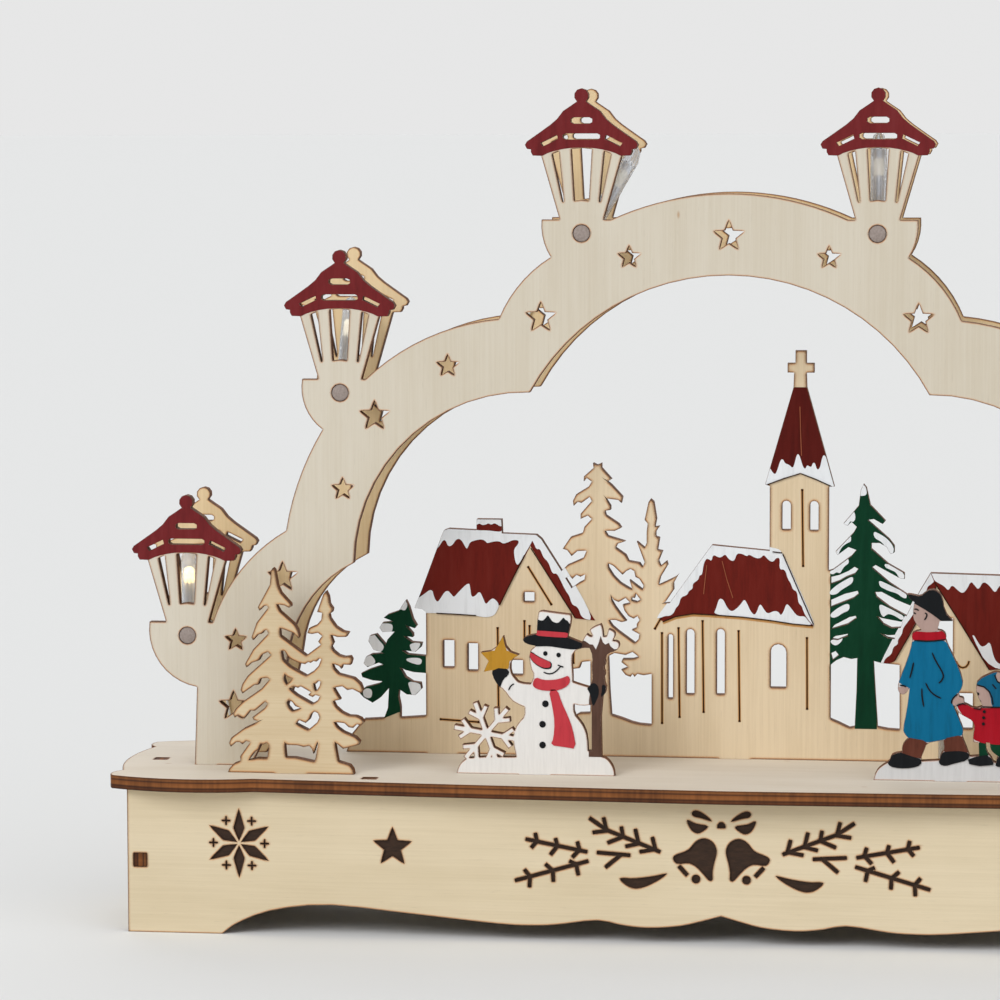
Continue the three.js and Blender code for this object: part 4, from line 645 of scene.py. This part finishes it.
right_roof_snow = [
    (75.4, 72.4), (76.2, 70.4), (78.1, 69.3), (80, 68.3), (81.6, 66.4), (82.9, 69), (85.1, 66.8), (87, 65.5),
    (88.6, 67.2), (90.1, 70.4), (91.5, 68.8), (93, 66.9), (94.7, 70.4), (97.1, 68.9),
    (99.3, 65.7), (100.6, 68.3), (102.8, 70.3), (104.4, 67.4), (105.9, 66.2), (107.3, 69.1),
    (108.8, 70.2), (110.2, 67.6), (113, 68.5), (113, 76.5), (73.5, 76.5),
]
right_eave_snow = [
    (90.6, 49.3), (91.4, 49.7), (92.5, 47.7), (94.1, 45.2), (95.7, 45.4), (97.6, 47.5),
    (98.9, 41.4), (100.5, 38.8), (103.1, 38.5), (104.6, 40.4), (106, 43.2), (107.3, 41),
    (108.7, 38.9), (111.5, 38.7), (111.5, 36.8), (97.5, 36.2),
]
green_tree = [
    (36.5, 31.3), (36.5, 108.5), (68.9, 108.9), (69.9, 64.7), (63, 51.8), (55.8, 37.8),
    (54.7, 37.4), (54.7, 12.6), (46.2, 12.6), (46.2, 31.3),
]
green_tree_snow = [
    [(46.5, 102.4), (47.5, 105.8), (48.7, 107.7), (50.1, 106.1), (50.6, 102.4)],
    [(39.9, 91.3), (41.1, 93.2), (43, 95.8), (45, 97.2), (46.1, 96), (46.2, 93.4),
     (45.1, 92.3), (44, 92.9), (43.2, 90.9), (41.5, 90.3)],
    [(37.1, 80.3), (38.3, 83.2), (40.2, 85.8), (42.7, 88.1), (44.3, 88.6), (44.9, 85.2),
     (43.1, 84.4), (41.2, 83.1), (40.1, 81.3), (39.2, 78.9)],
    [(52.5, 89.5), (55.1, 88.4), (58.3, 86.4), (60.9, 83.2), (61, 80.6), (59.6, 79.8),
     (58.1, 80.8), (57.2, 83.5), (55.7, 85.2), (52.9, 86.6)],
    [(35.5, 72.6), (38, 75.2), (41.2, 77.8), (43.6, 79), (44, 76.8), (42.5, 75.8),
     (41.4, 74.6), (40.3, 72.3), (38.8, 73.1), (37.4, 71.9)],
    [(56.8, 77), (59.7, 76.2), (62.9, 74.7), (65.3, 72.3), (64.8, 70.1), (62.9, 71),
     (61.6, 73.4), (59.7, 74.2), (57.1, 75.3)],
    [(35.6, 65.2), (38.7, 68.1), (42.5, 70.4), (45.6, 72.1), (45.7, 69.4), (43.3, 67.7),
     (40.6, 66.1), (39.1, 64.5), (36.5, 63.9)],
    [(54.5, 70.6), (57.8, 69.2), (61.6, 67.3), (66.2, 65.3), (66.2, 62.9), (64.2, 63.5),
     (62.3, 65.1), (59.1, 66), (56.6, 67.1), (55, 68)],
    [(35.9, 56.5), (39.4, 59.5), (44.1, 61.8), (44.4, 58.6), (41.5, 57.4), (39.4, 55.8),
     (37.2, 55.1)],
    [(54.7, 61.6), (58.5, 59.9), (62.3, 58), (65.5, 56.2), (64.4, 54.5), (61.7, 56.4),
     (58.5, 57.5), (56.6, 55.6), (55.3, 57.8)],
    [(36, 46.5), (38.8, 47.5), (41.9, 48.2), (40.8, 45.8), (38.3, 44.3)],
]
edge_tree_snow = [
    [(-131.7, 56.2), (-130.5, 56.5), (-128.2, 55.7), (-127.3, 59.1), (-129.2, 60.5)],
    [(-139.9, 48.4), (-138.9, 50.8), (-133.7, 50.8), (-133.3, 49), (-134, 47.2),
     (-135.2, 47.1), (-136.3, 47.7), (-137.7, 47.1), (-139.1, 47.4)],
    [(-144.3, 44.6), (-142.6, 46.7), (-140.6, 46.5), (-138.8, 44), (-136.8, 42),
     (-137.3, 40.3), (-139.2, 38.9), (-141.4, 39.9), (-143.6, 40.9)],
    [(-145.9, 35.3), (-145.4, 38.2), (-142.1, 38.5), (-140.2, 36.1), (-140.7, 34.7),
     (-142.7, 33.9), (-144.9, 34)],
    [(-126.9, 43), (-122.2, 43.7), (-123.2, 41), (-125.5, 39.3), (-126.4, 41)],
    [(-128.3, 36.4), (-127.6, 37.4), (-121.8, 37.5), (-122.3, 34.5), (-125.9, 35.3)],
    [(-127.7, 28.3), (-122.7, 27.5), (-122, 25.3), (-123.5, 22.8), (-125.9, 22.5),
     (-126.8, 25.2)],
    [(-145.4, 23.9), (-144.2, 25.2), (-142.1, 25), (-141.5, 23.4), (-142.2, 21.1),
     (-145, 21.7)],
]
edge_tree = [(-150, 13.5), (-137, 13.5), (-131, 16), (-120.4, 16), (-120.4, 62), (-150, 62)]
snow_patch_share = 0.92


def shrunk(points, share):
    middle_x = sum(x for x, z in points) / len(points)
    middle_z = sum(z for x, z in points) / len(points)
    return [
        (middle_x + share * (x - middle_x), middle_z + share * (z - middle_z)) for x, z in points
    ]


painted("left_house_paint", "village_panel", [
    ("house_red", [house_roof], 1, roof_red, 0),
    ("house_gable", [house_gable_board], 2, roof_red, 0),
    ("house_snow", [house_roof_snow, house_eave_snow, chimney_snow], 3, snow_white),
    ("house_gable_white", [house_gable_snow], 4, snow_white),
])
painted("church_paint", "village_panel", [
    ("church_red", [church_roof], 1, roof_red, 0),
    ("church_snow", [church_roof_snow], 2, snow_white),
    ("church_eave", [church_eave_snow], 3, snow_white),
])
painted("spire_paint", "village_panel", [
    ("spire_red", [spire_roof], 1, paint("spire_red", (82, 19, 13)), 0),
    ("spire_white", [spire_snow], 2, snow_white),
])
painted("right_house_paint", "village_panel", [
    ("right_gable_red", [right_gable_board], 2, roof_red, 0),
    ("right_gable_white", [right_gable_snow], 3, snow_white),
    ("right_roof_red", [right_roof], 4, roof_red, 0),
    ("right_roof_white", [right_roof_snow, right_eave_snow], 5, snow_white),
])
painted("green_tree_paint", "village_panel", [
    ("tree_green", [green_tree], 1, fir_green, 0),
    ("tree_white", [shrunk(patch, snow_patch_share) for patch in green_tree_snow], 2, snow_white),
])
for side, turn in (("left", list), ("right", mirrored)):
    painted(f"edge_tree_paint_{side}", "village_panel", [
        (f"edge_green_{side}", [turn(edge_tree)], 1, fir_green, 0),
        (f"edge_white_{side}", [turn(patch) for patch in edge_tree_snow], 2, snow_white),
    ])


# The laser also burns fine lines into the village for corners, eaves and mullions. The straight
# ones on the walls are grooves, a little wider where the beam starts and stops. The others are
# plain strokes. Those on the walls and the church's eave have a brown glow on the wood beside
# them. The red roofs have faint scratches, where the brown of the wood shows through the paint.
def stroke(points, width):
    left, right = [], []
    for index, (x, z) in enumerate(points):
        x0, z0 = points[max(index - 1, 0)]
        x1, z1 = points[min(index + 1, len(points) - 1)]
        length = math.hypot(x1 - x0, z1 - z0)
        side_x, side_z = (z0 - z1) / length * width / 2, (x1 - x0) / length * width / 2
        left.append((x + side_x, z + side_z))
        right.append((x - side_x, z - side_z))
    return left + right[::-1]


# Half of the groove's width at each distance from its end.
groove_end = [(0, 0.26), (0.2, 0.46), (0.6, 0.42), (0.95, 0.28)]


def groove(x0, z0, x1, z1):
    length = math.hypot(x1 - x0, z1 - z0)
    along_x, along_z = (x1 - x0) / length, (z1 - z0) / length
    steps = groove_end + [(length - far, half) for far, half in reversed(groove_end)]
    left = [(x0 + along_x * far - along_z * half, z0 + along_z * far + along_x * half)
            for far, half in steps]
    right = [(x0 + along_x * far + along_z * half, z0 + along_z * far - along_x * half)
             for far, half in reversed(steps)]
    return left + right


wall_lines = [
    (-115.1, 13.5, -99.4, 12.6), (-92.2, 50, -91.9, 18.3), (-80.4, 73.9, -71, 58.8),
    (-81.7, 52.9, -81.7, 45.1), (-79.7, 51, -79.7, 45.1), (-62.6, 41.4, -62.6, 36),
    (-28.2, 49, -28.1, 13.1), (-21.8, 51, -21.3, 15.6), (-12.5, 53.9, -12, 17.7),
    (1.4, 50.2, 1.9, 14.4), (27.7, 47.9, 27.9, 19.6), (25.6, 105, 26.1, 74.9),
    (-25.7, 59.6, -31.1, 49.9),
]
wall_curve = [
    (84.7, 39.4), (85.3, 38.2), (86.3, 37.2), (87.3, 36.9), (88.5, 37.3), (89.3, 38.3), (89.7, 39.6),
]
church_eave = [
    (-27.9, 53), (-22.9, 55.1), (-16.3, 56.3), (-10.7, 56.1), (3, 55.3), (14, 54.1), (22.3, 52.9),
    (30.1, 52.3),
]
eave_lines = [
    [(-116.1, 55.1), (-108, 54.8), (-100.6, 54.4)],
    [(-81.6, 78.2), (-86.4, 68.6), (-91.3, 58.6)],
    [(-79.1, 81), (-70.5, 67.5), (-61.9, 54.1)],
    church_eave,
    [(18.3, 79.9), (24.3, 66.2), (30.2, 52.8)],
    [(14.4, 80.7), (18.1, 80.3)],
    [(11.9, 106.4), (18.4, 108.9), (25, 111)],
    [(25.2, 110.9), (31, 108.7), (37, 106)],
    [(76.9, 67.8), (66.8, 49), (61.3, 39.2)],
    [(76.3, 69.7), (86.8, 53.2), (97.3, 36.4)],
]
roof_scratches = [
    [(24.6, 136.6), (24.9, 127), (25.3, 117.8)],
    [(-10.9, 75.2), (-11.6, 69.2), (-12.1, 64)],
    [(-5, 76.8), (-3.1, 69.6), (-0.8, 62.6)],
]
curve_width, eave_width, scratch_width = 0.5, 0.42, 0.3
wall_glow_width, curve_glow_width, eave_glow_width, eave_glow_drop = 1.15, 1.1, 1.5, 0.35
scorch_glow = paint("scorch_glow", (198, 148, 92), 0.1, 0.85)
scratched_red = paint("scratched_red", (150, 84, 58), 0.15, 0.85)
scorched = paint("scorched", (46, 25, 12), 0.1, 0.85)
wall_glows = [stroke([(x0, z0), (x1, z1)], wall_glow_width) for x0, z0, x1, z1 in wall_lines]
wall_glows.append(stroke(wall_curve, curve_glow_width))
wall_glows.append(stroke([(x, z - eave_glow_drop) for x, z in church_eave], eave_glow_width))
wall_grooves = [groove(*line) for line in wall_lines] + [stroke(wall_curve, curve_width)]
painted("burnt_lines", "village_panel", [
    ("wall_glow", wall_glows, 0.5, scorch_glow, 0),
    ("wall_grooves", wall_grooves, 1, scorched, 0),
    ("eave_grooves", [stroke(line, eave_width) for line in eave_lines], 6, scorched, 0),
    ("roof_marks", [stroke(line, scratch_width) for line in roof_scratches], 4, scratched_red, 0),
])


# The fir trees stand in slots at the two ends of the plate, cut from 4 mm birch with the grain
# lying across, and are left bare.
for side in ("left", "right"):
    birch(f"fir_trees_{side}", f"firs_{side}_birch", (208, 189, 156), (193, 171, 136), depth_way,
          length_way, panel_ply, halo=0.0023)


# The snowman, with its snowflake and broom, is one birch cutout. Its front is brushed white,
# then the scarf, hat, buttons and broom are painted over the white.
figure_birch, figure_birch_dark = (207, 188, 159), (193, 172, 140)
birch("snowman_panel", "snowman_birch", figure_birch, figure_birch_dark, depth_way, height_way,
      panel_ply, halo=0.001, front_paint=(224, 222, 219))
paint_black = paint("paint_black", (19, 21, 24), 0.1)
paint_red = paint("paint_red", (186, 57, 66), 0.1)
paint_gold = paint("paint_gold", (176, 129, 40), 0.12, 0.6)
broom_brown = paint("broom_brown", (84, 60, 50), 0.16)
snowman_scarf = [
    (-72.8, 34.9), (-71.6, 37.2), (-68.6, 36.1), (-64.8, 36.2), (-61.4, 37), (-59.1, 38.1),
    (-58.4, 35.9), (-59.5, 34), (-62.5, 32.4), (-66.3, 32), (-70.1, 32.3), (-72.4, 33.4),
]
snowman_scarf_tail = [
    (-66.7, 32.6), (-63.3, 32.6), (-61.8, 27.9), (-59.5, 23), (-57.6, 18), (-56.1, 10.1),
    (-60.7, 10.8), (-66, 11.4), (-64.8, 14.1), (-64.4, 20.2), (-65.2, 25.9),
]
snowman_nose = [
    (-74.3, 46.6), (-72.8, 46.3), (-70.5, 44.8), (-67.8, 43.7), (-65.9, 43), (-65.9, 41.1),
    (-67.5, 40.7), (-69.3, 41), (-72, 42.5), (-73.5, 44.4),
]
snowman_mouth = [(-68.6, 39.1), (-66.7, 38.4), (-64.8, 38.8), (-63.3, 40), (-62.1, 41.5), (-61, 41.2)]
left_mitten = [
    (-89.6, 37.7), (-89.4, 39.9), (-87.6, 40.4), (-86.1, 40.4), (-83.4, 40.6), (-81.5, 39.3),
    (-81.9, 37.8), (-83.8, 36.2), (-84.6, 34.3), (-85.3, 32.2), (-87.4, 34.2),
]
right_mitten = [
    (-52.2, 33.3), (-50.8, 34.9), (-49.4, 35.4), (-48.1, 34.4), (-47.6, 32.8), (-47.8, 30.4),
    (-48.9, 28), (-49.7, 26.4), (-50.4, 28), (-50.7, 30.4), (-51.5, 32.1),
]
right_thumb = [
    (-46.5, 34.8), (-45.2, 34.4), (-43.2, 32.9), (-44, 30.6), (-46, 29.8), (-47, 30.4), (-46.5, 32.4),
]
snow_arm = [(-81.9, 32), (-81.1, 33.7), (-79.8, 34.5)]
smile_end = [(-63.2, 41.9), (-61.1, 41.1)]
hat_brim = [
    (-78, 51.2), (-76, 53.8), (-73.1, 54), (-70.8, 53.1), (-67.4, 52.8), (-63.3, 52.5),
    (-59.5, 52.5), (-56.8, 51.9), (-54, 51), (-54, 48.4), (-57.2, 47.8), (-61.8, 48.3),
    (-66.3, 49), (-71.6, 48.8), (-76, 48.8),
]
hat_crown = [
    (-72.2, 52.8), (-72.4, 59.2), (-71.1, 59.1), (-69.1, 58.5), (-68, 59.3), (-67, 60.9),
    (-66, 59.4), (-65.1, 58.2), (-63.1, 57.7), (-61.9, 59), (-61, 60), (-60.3, 59), (-59.4, 58.7),
    (-57.8, 56.2), (-58.6, 52.5),
]
hat_band = [(-72, 54.9), (-67.4, 54.7), (-58, 54.1), (-58.6, 52.3), (-65.5, 52.5), (-72, 53)]
broom = [
    (-55.4, 51.8), (-52.8, 51.1), (-51.1, 49.9), (-49.9, 49.8), (-48.8, 48), (-47.8, 50.4),
    (-47, 53.1), (-46.1, 50.7), (-45.2, 49.9), (-43.9, 50.6), (-43.3, 49.3), (-41.9, 48.2),
    (-39.8, 48.3), (-41.2, 46.6), (-44.2, 46.2), (-44.6, 44.2), (-44.4, 38), (-44.6, 34.6), (-45.8, 28.9),
    (-45.9, 7.2), (-51.5, 7.2), (-51.4, 28.8), (-50.8, 33), (-50.6, 38), (-50.6, 44.4),
    (-51.5, 47), (-55.4, 48.6),
]
gold_star = [
    (-93.4, 46.2), (-87.2, 47), (-84.1, 53.6), (-82.6, 47.1), (-77.1, 45.4), (-81.5, 43.1),
    (-81.9, 40.1), (-85.7, 40.4), (-91.6, 37.9), (-89.5, 43),
]


def oval(middle, width, height, corners=14):
    x, z = middle
    turns = [2 * math.pi * step / corners for step in range(corners)]
    return [(x + width / 2 * math.cos(turn), z + height / 2 * math.sin(turn)) for turn in turns]


button_size, eye_size = (2.5, 2.6), (1.7, 1.8)
buttons = [oval(place, *button_size) for place in ((-67.9, 27.1), (-69, 19.3), (-69, 11.4))]
eyes = [oval(place, *eye_size) for place in ((-67.9, 46.2), (-62.9, 45.7))]
nose_x, nose_z, rim_wide, rim_high = -70.1, 43.5, 1.1, 1.2
nose_rim = [
    (nose_x + rim_wide * (x - nose_x), nose_z + rim_high * (z - nose_z)) for x, z in snowman_nose
]
brush_line, smile_line = 0.5, 0.45
snowman_blacks = [left_mitten, right_mitten, right_thumb, hat_brim, nose_rim]
snowman_blacks += [stroke(line, brush_line) for line in (snow_arm, snowman_mouth)]
painted("snowman_paint", "snowman_panel", [
    ("snowman_hat", [hat_crown], 1, paint_black, 1),
    ("snowman_blacks", buttons + eyes + snowman_blacks, 2, paint_black, 1),
    ("snowman_smile", [stroke(smile_end, smile_line)], 3, paint_black, 0),
    ("snowman_reds", [snowman_scarf, snowman_scarf_tail, snowman_nose, hat_band], 3, paint_red, 1),
    ("snowman_star", [gold_star], 3, paint_gold, 0),
    ("snowman_broom", [broom], 1, broom_brown, 0),
])


# The two strollers, a grown-up and a child hand in hand on a strip of snow, are one more birch
# cutout, with every garment painted in its own colour.
birch("strollers_panel", "strollers_birch", figure_birch, figure_birch_dark, depth_way,
      height_way, panel_ply, halo=0.001, front_paint=(203, 203, 204))
paint_blue = paint("paint_blue", (3, 97, 134), 0.1)
coat_red = paint("coat_red", (156, 14, 30), 0.1)
skin_tone = paint("skin_tone", (168, 142, 133), 0.06)
paint_brown = paint("paint_brown", (92, 49, 37), 0.14)
cap_blue = paint("cap_blue", (9, 86, 118))
coat_outline = [
    (68.5, 52.6), (75.8, 53.4), (82.7, 52.8), (86.4, 45.7), (88.3, 41.6), (89.3, 38.3),
    (89.1, 35.3), (84.4, 29.9), (86.7, 24.7), (89.1, 19.5), (88, 17.2), (82.3, 16),
    (78.6, 15.2), (74.9, 14.5), (71.2, 15.4), (66.1, 16.8), (65, 19.4), (65.3, 22.5),
    (66.4, 25.9), (67.1, 30.4), (67.5, 35.3), (65.9, 36), (63.4, 37.9), (66.3, 44.7),
    (67.7, 49.2),
]
collar = [
    (69, 56.4), (76.5, 55.9), (81.6, 56.8), (83, 54.7), (82.4, 53), (75.8, 52.7), (68.9, 52.9),
    (68.3, 54.8),
]
face = [
    (69.1, 67.2), (74.6, 64.3), (80.4, 60.6), (79.5, 56.5), (74.2, 55.8), (70, 56.4),
    (68.4, 59.7), (68.4, 65),
]
hat = [
    (66.5, 70.4), (69.7, 71), (72.3, 70.3), (74.1, 72), (76.3, 73.2), (79, 72.5), (81.4, 69.5),
    (81.8, 66.3), (82.2, 64), (85.2, 60), (80.1, 60.1), (77.9, 61.9), (74.6, 64.1),
    (70.1, 66.7), (67.2, 68),
]
front_shoe = [
    (60.2, 7.1), (61, 9.4), (64.2, 11), (67.2, 10), (70.2, 9), (73.2, 8.3), (72.9, 6),
    (69.4, 4.8), (65, 4.6), (61.4, 5.2),
]
back_shoe = [
    (79.4, 8.4), (80.5, 11), (84.2, 11.5), (87.9, 11.6), (91, 10.8), (90.4, 8.2), (85, 6.8),
    (82.1, 5.8), (79.8, 6.3),
]
front_leg = [
    (66.2, 16.6), (76, 15), (74.6, 11.3), (73.8, 8.4), (69.8, 9), (65.2, 10.2), (64.7, 11.9),
    (65.6, 14.2),
]
back_leg = [(80.4, 16), (88.6, 17.8), (89.9, 14.2), (91, 11), (86.1, 10.6), (80.6, 11)]
hand = [(63.6, 35.2), (67.9, 35.6), (68.2, 33.8), (66.3, 31.6), (64.4, 32.4)]
joined_hands = [
    (84, 30), (84.6, 31.6), (86, 33.2), (86.8, 33.4), (87.6, 32.4), (89.6, 32), (89.6, 30.2),
    (88.9, 29.5), (87, 29.5), (85.7, 28.9), (85, 28.3),
]
child_coat = [
    (86, 28.4), (87, 29.1), (88.6, 29.5), (89.9, 29.4), (92.3, 28), (94.8, 27.7), (95.1, 28.6),
    (100.8, 28.5), (106.8, 28.5), (108.6, 25.5), (106.6, 20.5), (110.5, 15.8), (110, 14.2),
    (97.2, 14.2), (91.3, 16.3), (92, 20.3), (90.9, 22.5), (88.5, 24.6),
]
child_cap = [
    (92, 39), (94.3, 40.6), (99.6, 43), (104.5, 43), (108, 38), (107.4, 33), (106.8, 28.6),
    (100.9, 28.3), (98.9, 28.5), (98.4, 32.8), (96.5, 35.8), (92, 36.9),
]
child_face = [
    (91.8, 37), (94, 36.6), (96, 35.9), (98, 34.1), (99, 31.8), (99.5, 28), (95, 27.9),
    (93, 28.4), (93.4, 30.5), (91.8, 32.7),
]
pompom = oval((102.3, 39.9), 3.9, 4.4)
child_leg = [(93.6, 15.2), (97.9, 15.2), (97.7, 12.1), (98, 9.6), (93.4, 9.4)]
child_shoe = [(90.3, 8.5), (93.5, 9.7), (97.2, 10.3), (100, 8.6), (99.6, 6.6), (94.6, 6.1), (90.8, 6.8)]
other_child_leg = [(98, 15.2), (106.4, 15.2), (106.6, 9.4), (101.2, 9.4), (98.3, 11.9)]
other_child_shoe = [
    (100.5, 6.4), (100.7, 7.8), (101.4, 9.4), (102.4, 10.2), (105.6, 10.4), (109.6, 9.4),
    (109.8, 7), (104, 5.8), (101.3, 6),
]
coat_lines = [
    [(76.7, 48.4), (78.1, 45.2), (80.3, 41.7), (81.1, 39.6), (80.3, 37.9), (79.3, 37)],
    [(69.9, 44.6), (69.3, 41.6), (68.5, 38.7)],
    [(74.4, 37), (75.7, 34.3), (77.8, 32.4), (80.2, 31.3)],
    [(73, 34.9), (73.1, 31.7), (73.8, 28)],
    [(64.8, 36), (66.4, 35.8), (67.2, 35.4)],
    [(70, 52.9), (75.9, 52.6), (81.7, 53.4)],
    [(84.1, 29.4), (84.1, 30.4), (84.8, 31.7), (86.3, 33)],
]
face_lines = [
    [(70, 64.5), (70.7, 64.7), (71.7, 64.1)],
    [(69.2, 62.7), (69.7, 63.4), (70.6, 62.8)],
    [(73.9, 63.3), (74.8, 62.7), (74.4, 61.5), (73.8, 60.6)],
]
coat_line = 0.55
stroller_marks = [stroke(line, coat_line) for line in coat_lines + face_lines]
painted("stroller_paint", "strollers_panel", [
    ("coat_blue", [coat_outline], 1, paint_blue, 1),
    ("stroller_skin", [face, hand, joined_hands], 2, skin_tone, 1),
    ("stroller_reds", [collar], 3, coat_red, 1),
    ("stroller_blacks", [hat, front_shoe, back_shoe] + stroller_marks, 4, paint_black, 1),
    ("stroller_browns", [front_leg, back_leg], 3, paint_brown, 1),
])
child_lines = [
    [(93.3, 36.6), (96, 35.9), (98, 34.1), (99, 31.8), (99.4, 29.3)],
    [(91.9, 32.7), (92.8, 33.1)],
    [(93.9, 30), (94.9, 30.6)],
    [(99.1, 36.9), (100.5, 35.2)],
    [(92.3, 27.8), (94.8, 27.4), (95.1, 28.4), (100.8, 28.3), (105.2, 28.4)],
    [(85.9, 28.5), (87, 29.2), (88.3, 29.5), (89.4, 29.1)],
    [(99.9, 40.4), (100.9, 38), (102.5, 37.1), (104.2, 37.6)],
]
child_blacks = [child_shoe, other_child_shoe]
child_dots = [(96.2, 26.6), (96, 24.3), (95.9, 22), (93.7, 33.2)]
dot_width, dot_corners = 1.2, 10
child_blacks += [oval(place, dot_width, dot_width, dot_corners) for place in child_dots]
child_blacks += [stroke(line, brush_line) for line in child_lines]
painted("child_paint", "strollers_panel", [
    ("child_red", [child_coat], 2, coat_red, 1),
    ("child_skin", [child_face], 3, skin_tone, 1),
    ("child_blue", [child_cap], 4, cap_blue, 1),
    ("child_pompom", [pompom], 5, skin_tone, 0),
    ("child_green", [child_leg, other_child_leg], 1, fir_green, 1),
    ("child_blacks", child_blacks, 6, paint_black, 0),
])
for trimmer in trimmers.values():
    bpy.data.objects.remove(trimmer)


# The battery case hangs under the plate on four screws. It is black moulded plastic, with a
# sliding cover below, three cells side by side, steel contacts and a small slide switch.
def moulded(name, colour, grain_scale, roughness):
    material = new_finish(name, {"Roughness": roughness})
    grain = stretched_noise(material, (grain_scale,) * 3)
    tone = colour_ramp(material, grain, [(0.3, shaded(colour, 0.88)), (0.7, shaded(colour, 1.1))])
    set_shader(material, "Base Color", tone)
    raise_grain(material, grain, 0.3)
    return material


def metal(name, colour, grain_scale, roughness):
    material = moulded(name, colour, grain_scale, roughness)
    set_shader(material, "Metallic", 1)
    return material


dress(moulded("case_black", (34, 35, 38), 1800, 0.55), "battery_case", "battery_cover")
dress(moulded("cell_sleeve", (58, 106, 68), 300, 0.35), *[f"battery_cell_{n}" for n in (1, 2, 3)])
dress(metal("contact_steel", (186, 188, 190), 500, 0.32), "contact_strip_1", "contact_strip_2")
dress(moulded("slider_white", (226, 226, 220), 1500, 0.45), "switch_slider")
dress(metal("screw_zinc", (200, 192, 166), 700, 0.35), *[f"case_screw_{n}" for n in (1, 2, 3, 4)])


# A pair of thin leads runs from the case to each side, up through the plate at the arch's foot and
# along the inner face of the rear panel from lantern to lantern, with a soldered branch at each.
dress(moulded("lead_sleeve", (214, 214, 208), 900, 0.5), "wire_left", "wire_right")


# The floor is a wide pale table top that runs out of sight, so that nothing stands near the part.
# Three soft suns light it from the front left, the front right and behind, before a pale backdrop.
floor_reach = 60
bpy.ops.object.select_all(action="DESELECT")
bpy.ops.mesh.primitive_circle_add(vertices=64, radius=floor_reach, fill_type="NGON")
floor = bpy.context.object
floor.name = "floor"
floor.data.materials.append(new_finish("floor_finish", {
    "Base Color": linear(228, 229, 229), "Roughness": 1.0, "Specular IOR Level": 0.0}))


def soft_sun(name, heading, strength, spread):
    bpy.ops.object.light_add(type="SUN", location=(0, 0, 3))
    sun = bpy.context.object
    sun.name = name
    sun.data.energy = strength
    sun.data.angle = math.radians(spread)
    sun.rotation_euler = Vector(heading).to_track_quat("-Z", "Y").to_euler()


soft_sun("key_light", (0.45, 0.70, -0.55), 1.75, 34)
soft_sun("fill_light", (-0.60, 0.50, -0.62), 0.6, 60)
soft_sun("back_light", (0.10, -0.80, -0.59), 0.75, 60)
sky_strength, backdrop_strength = 0.45, 0.797
world = bpy.data.worlds.new("studio")
bpy.context.scene.world = world
world.use_nodes = True
backdrop = world.node_tree.nodes["Background"]
rays = add_node(world, "ShaderNodeLightPath").outputs
seen = calculate(world, "MAXIMUM", rays["Is Camera Ray"], rays["Is Transmission Ray"])
seen = calculate(world, "MAXIMUM", seen, rays["Is Glossy Ray"])
feed(backdrop, "Color", (1, 1, 1, 1))
feed(backdrop, "Strength", rescale(world, seen, to_low=sky_strength, to_high=backdrop_strength))
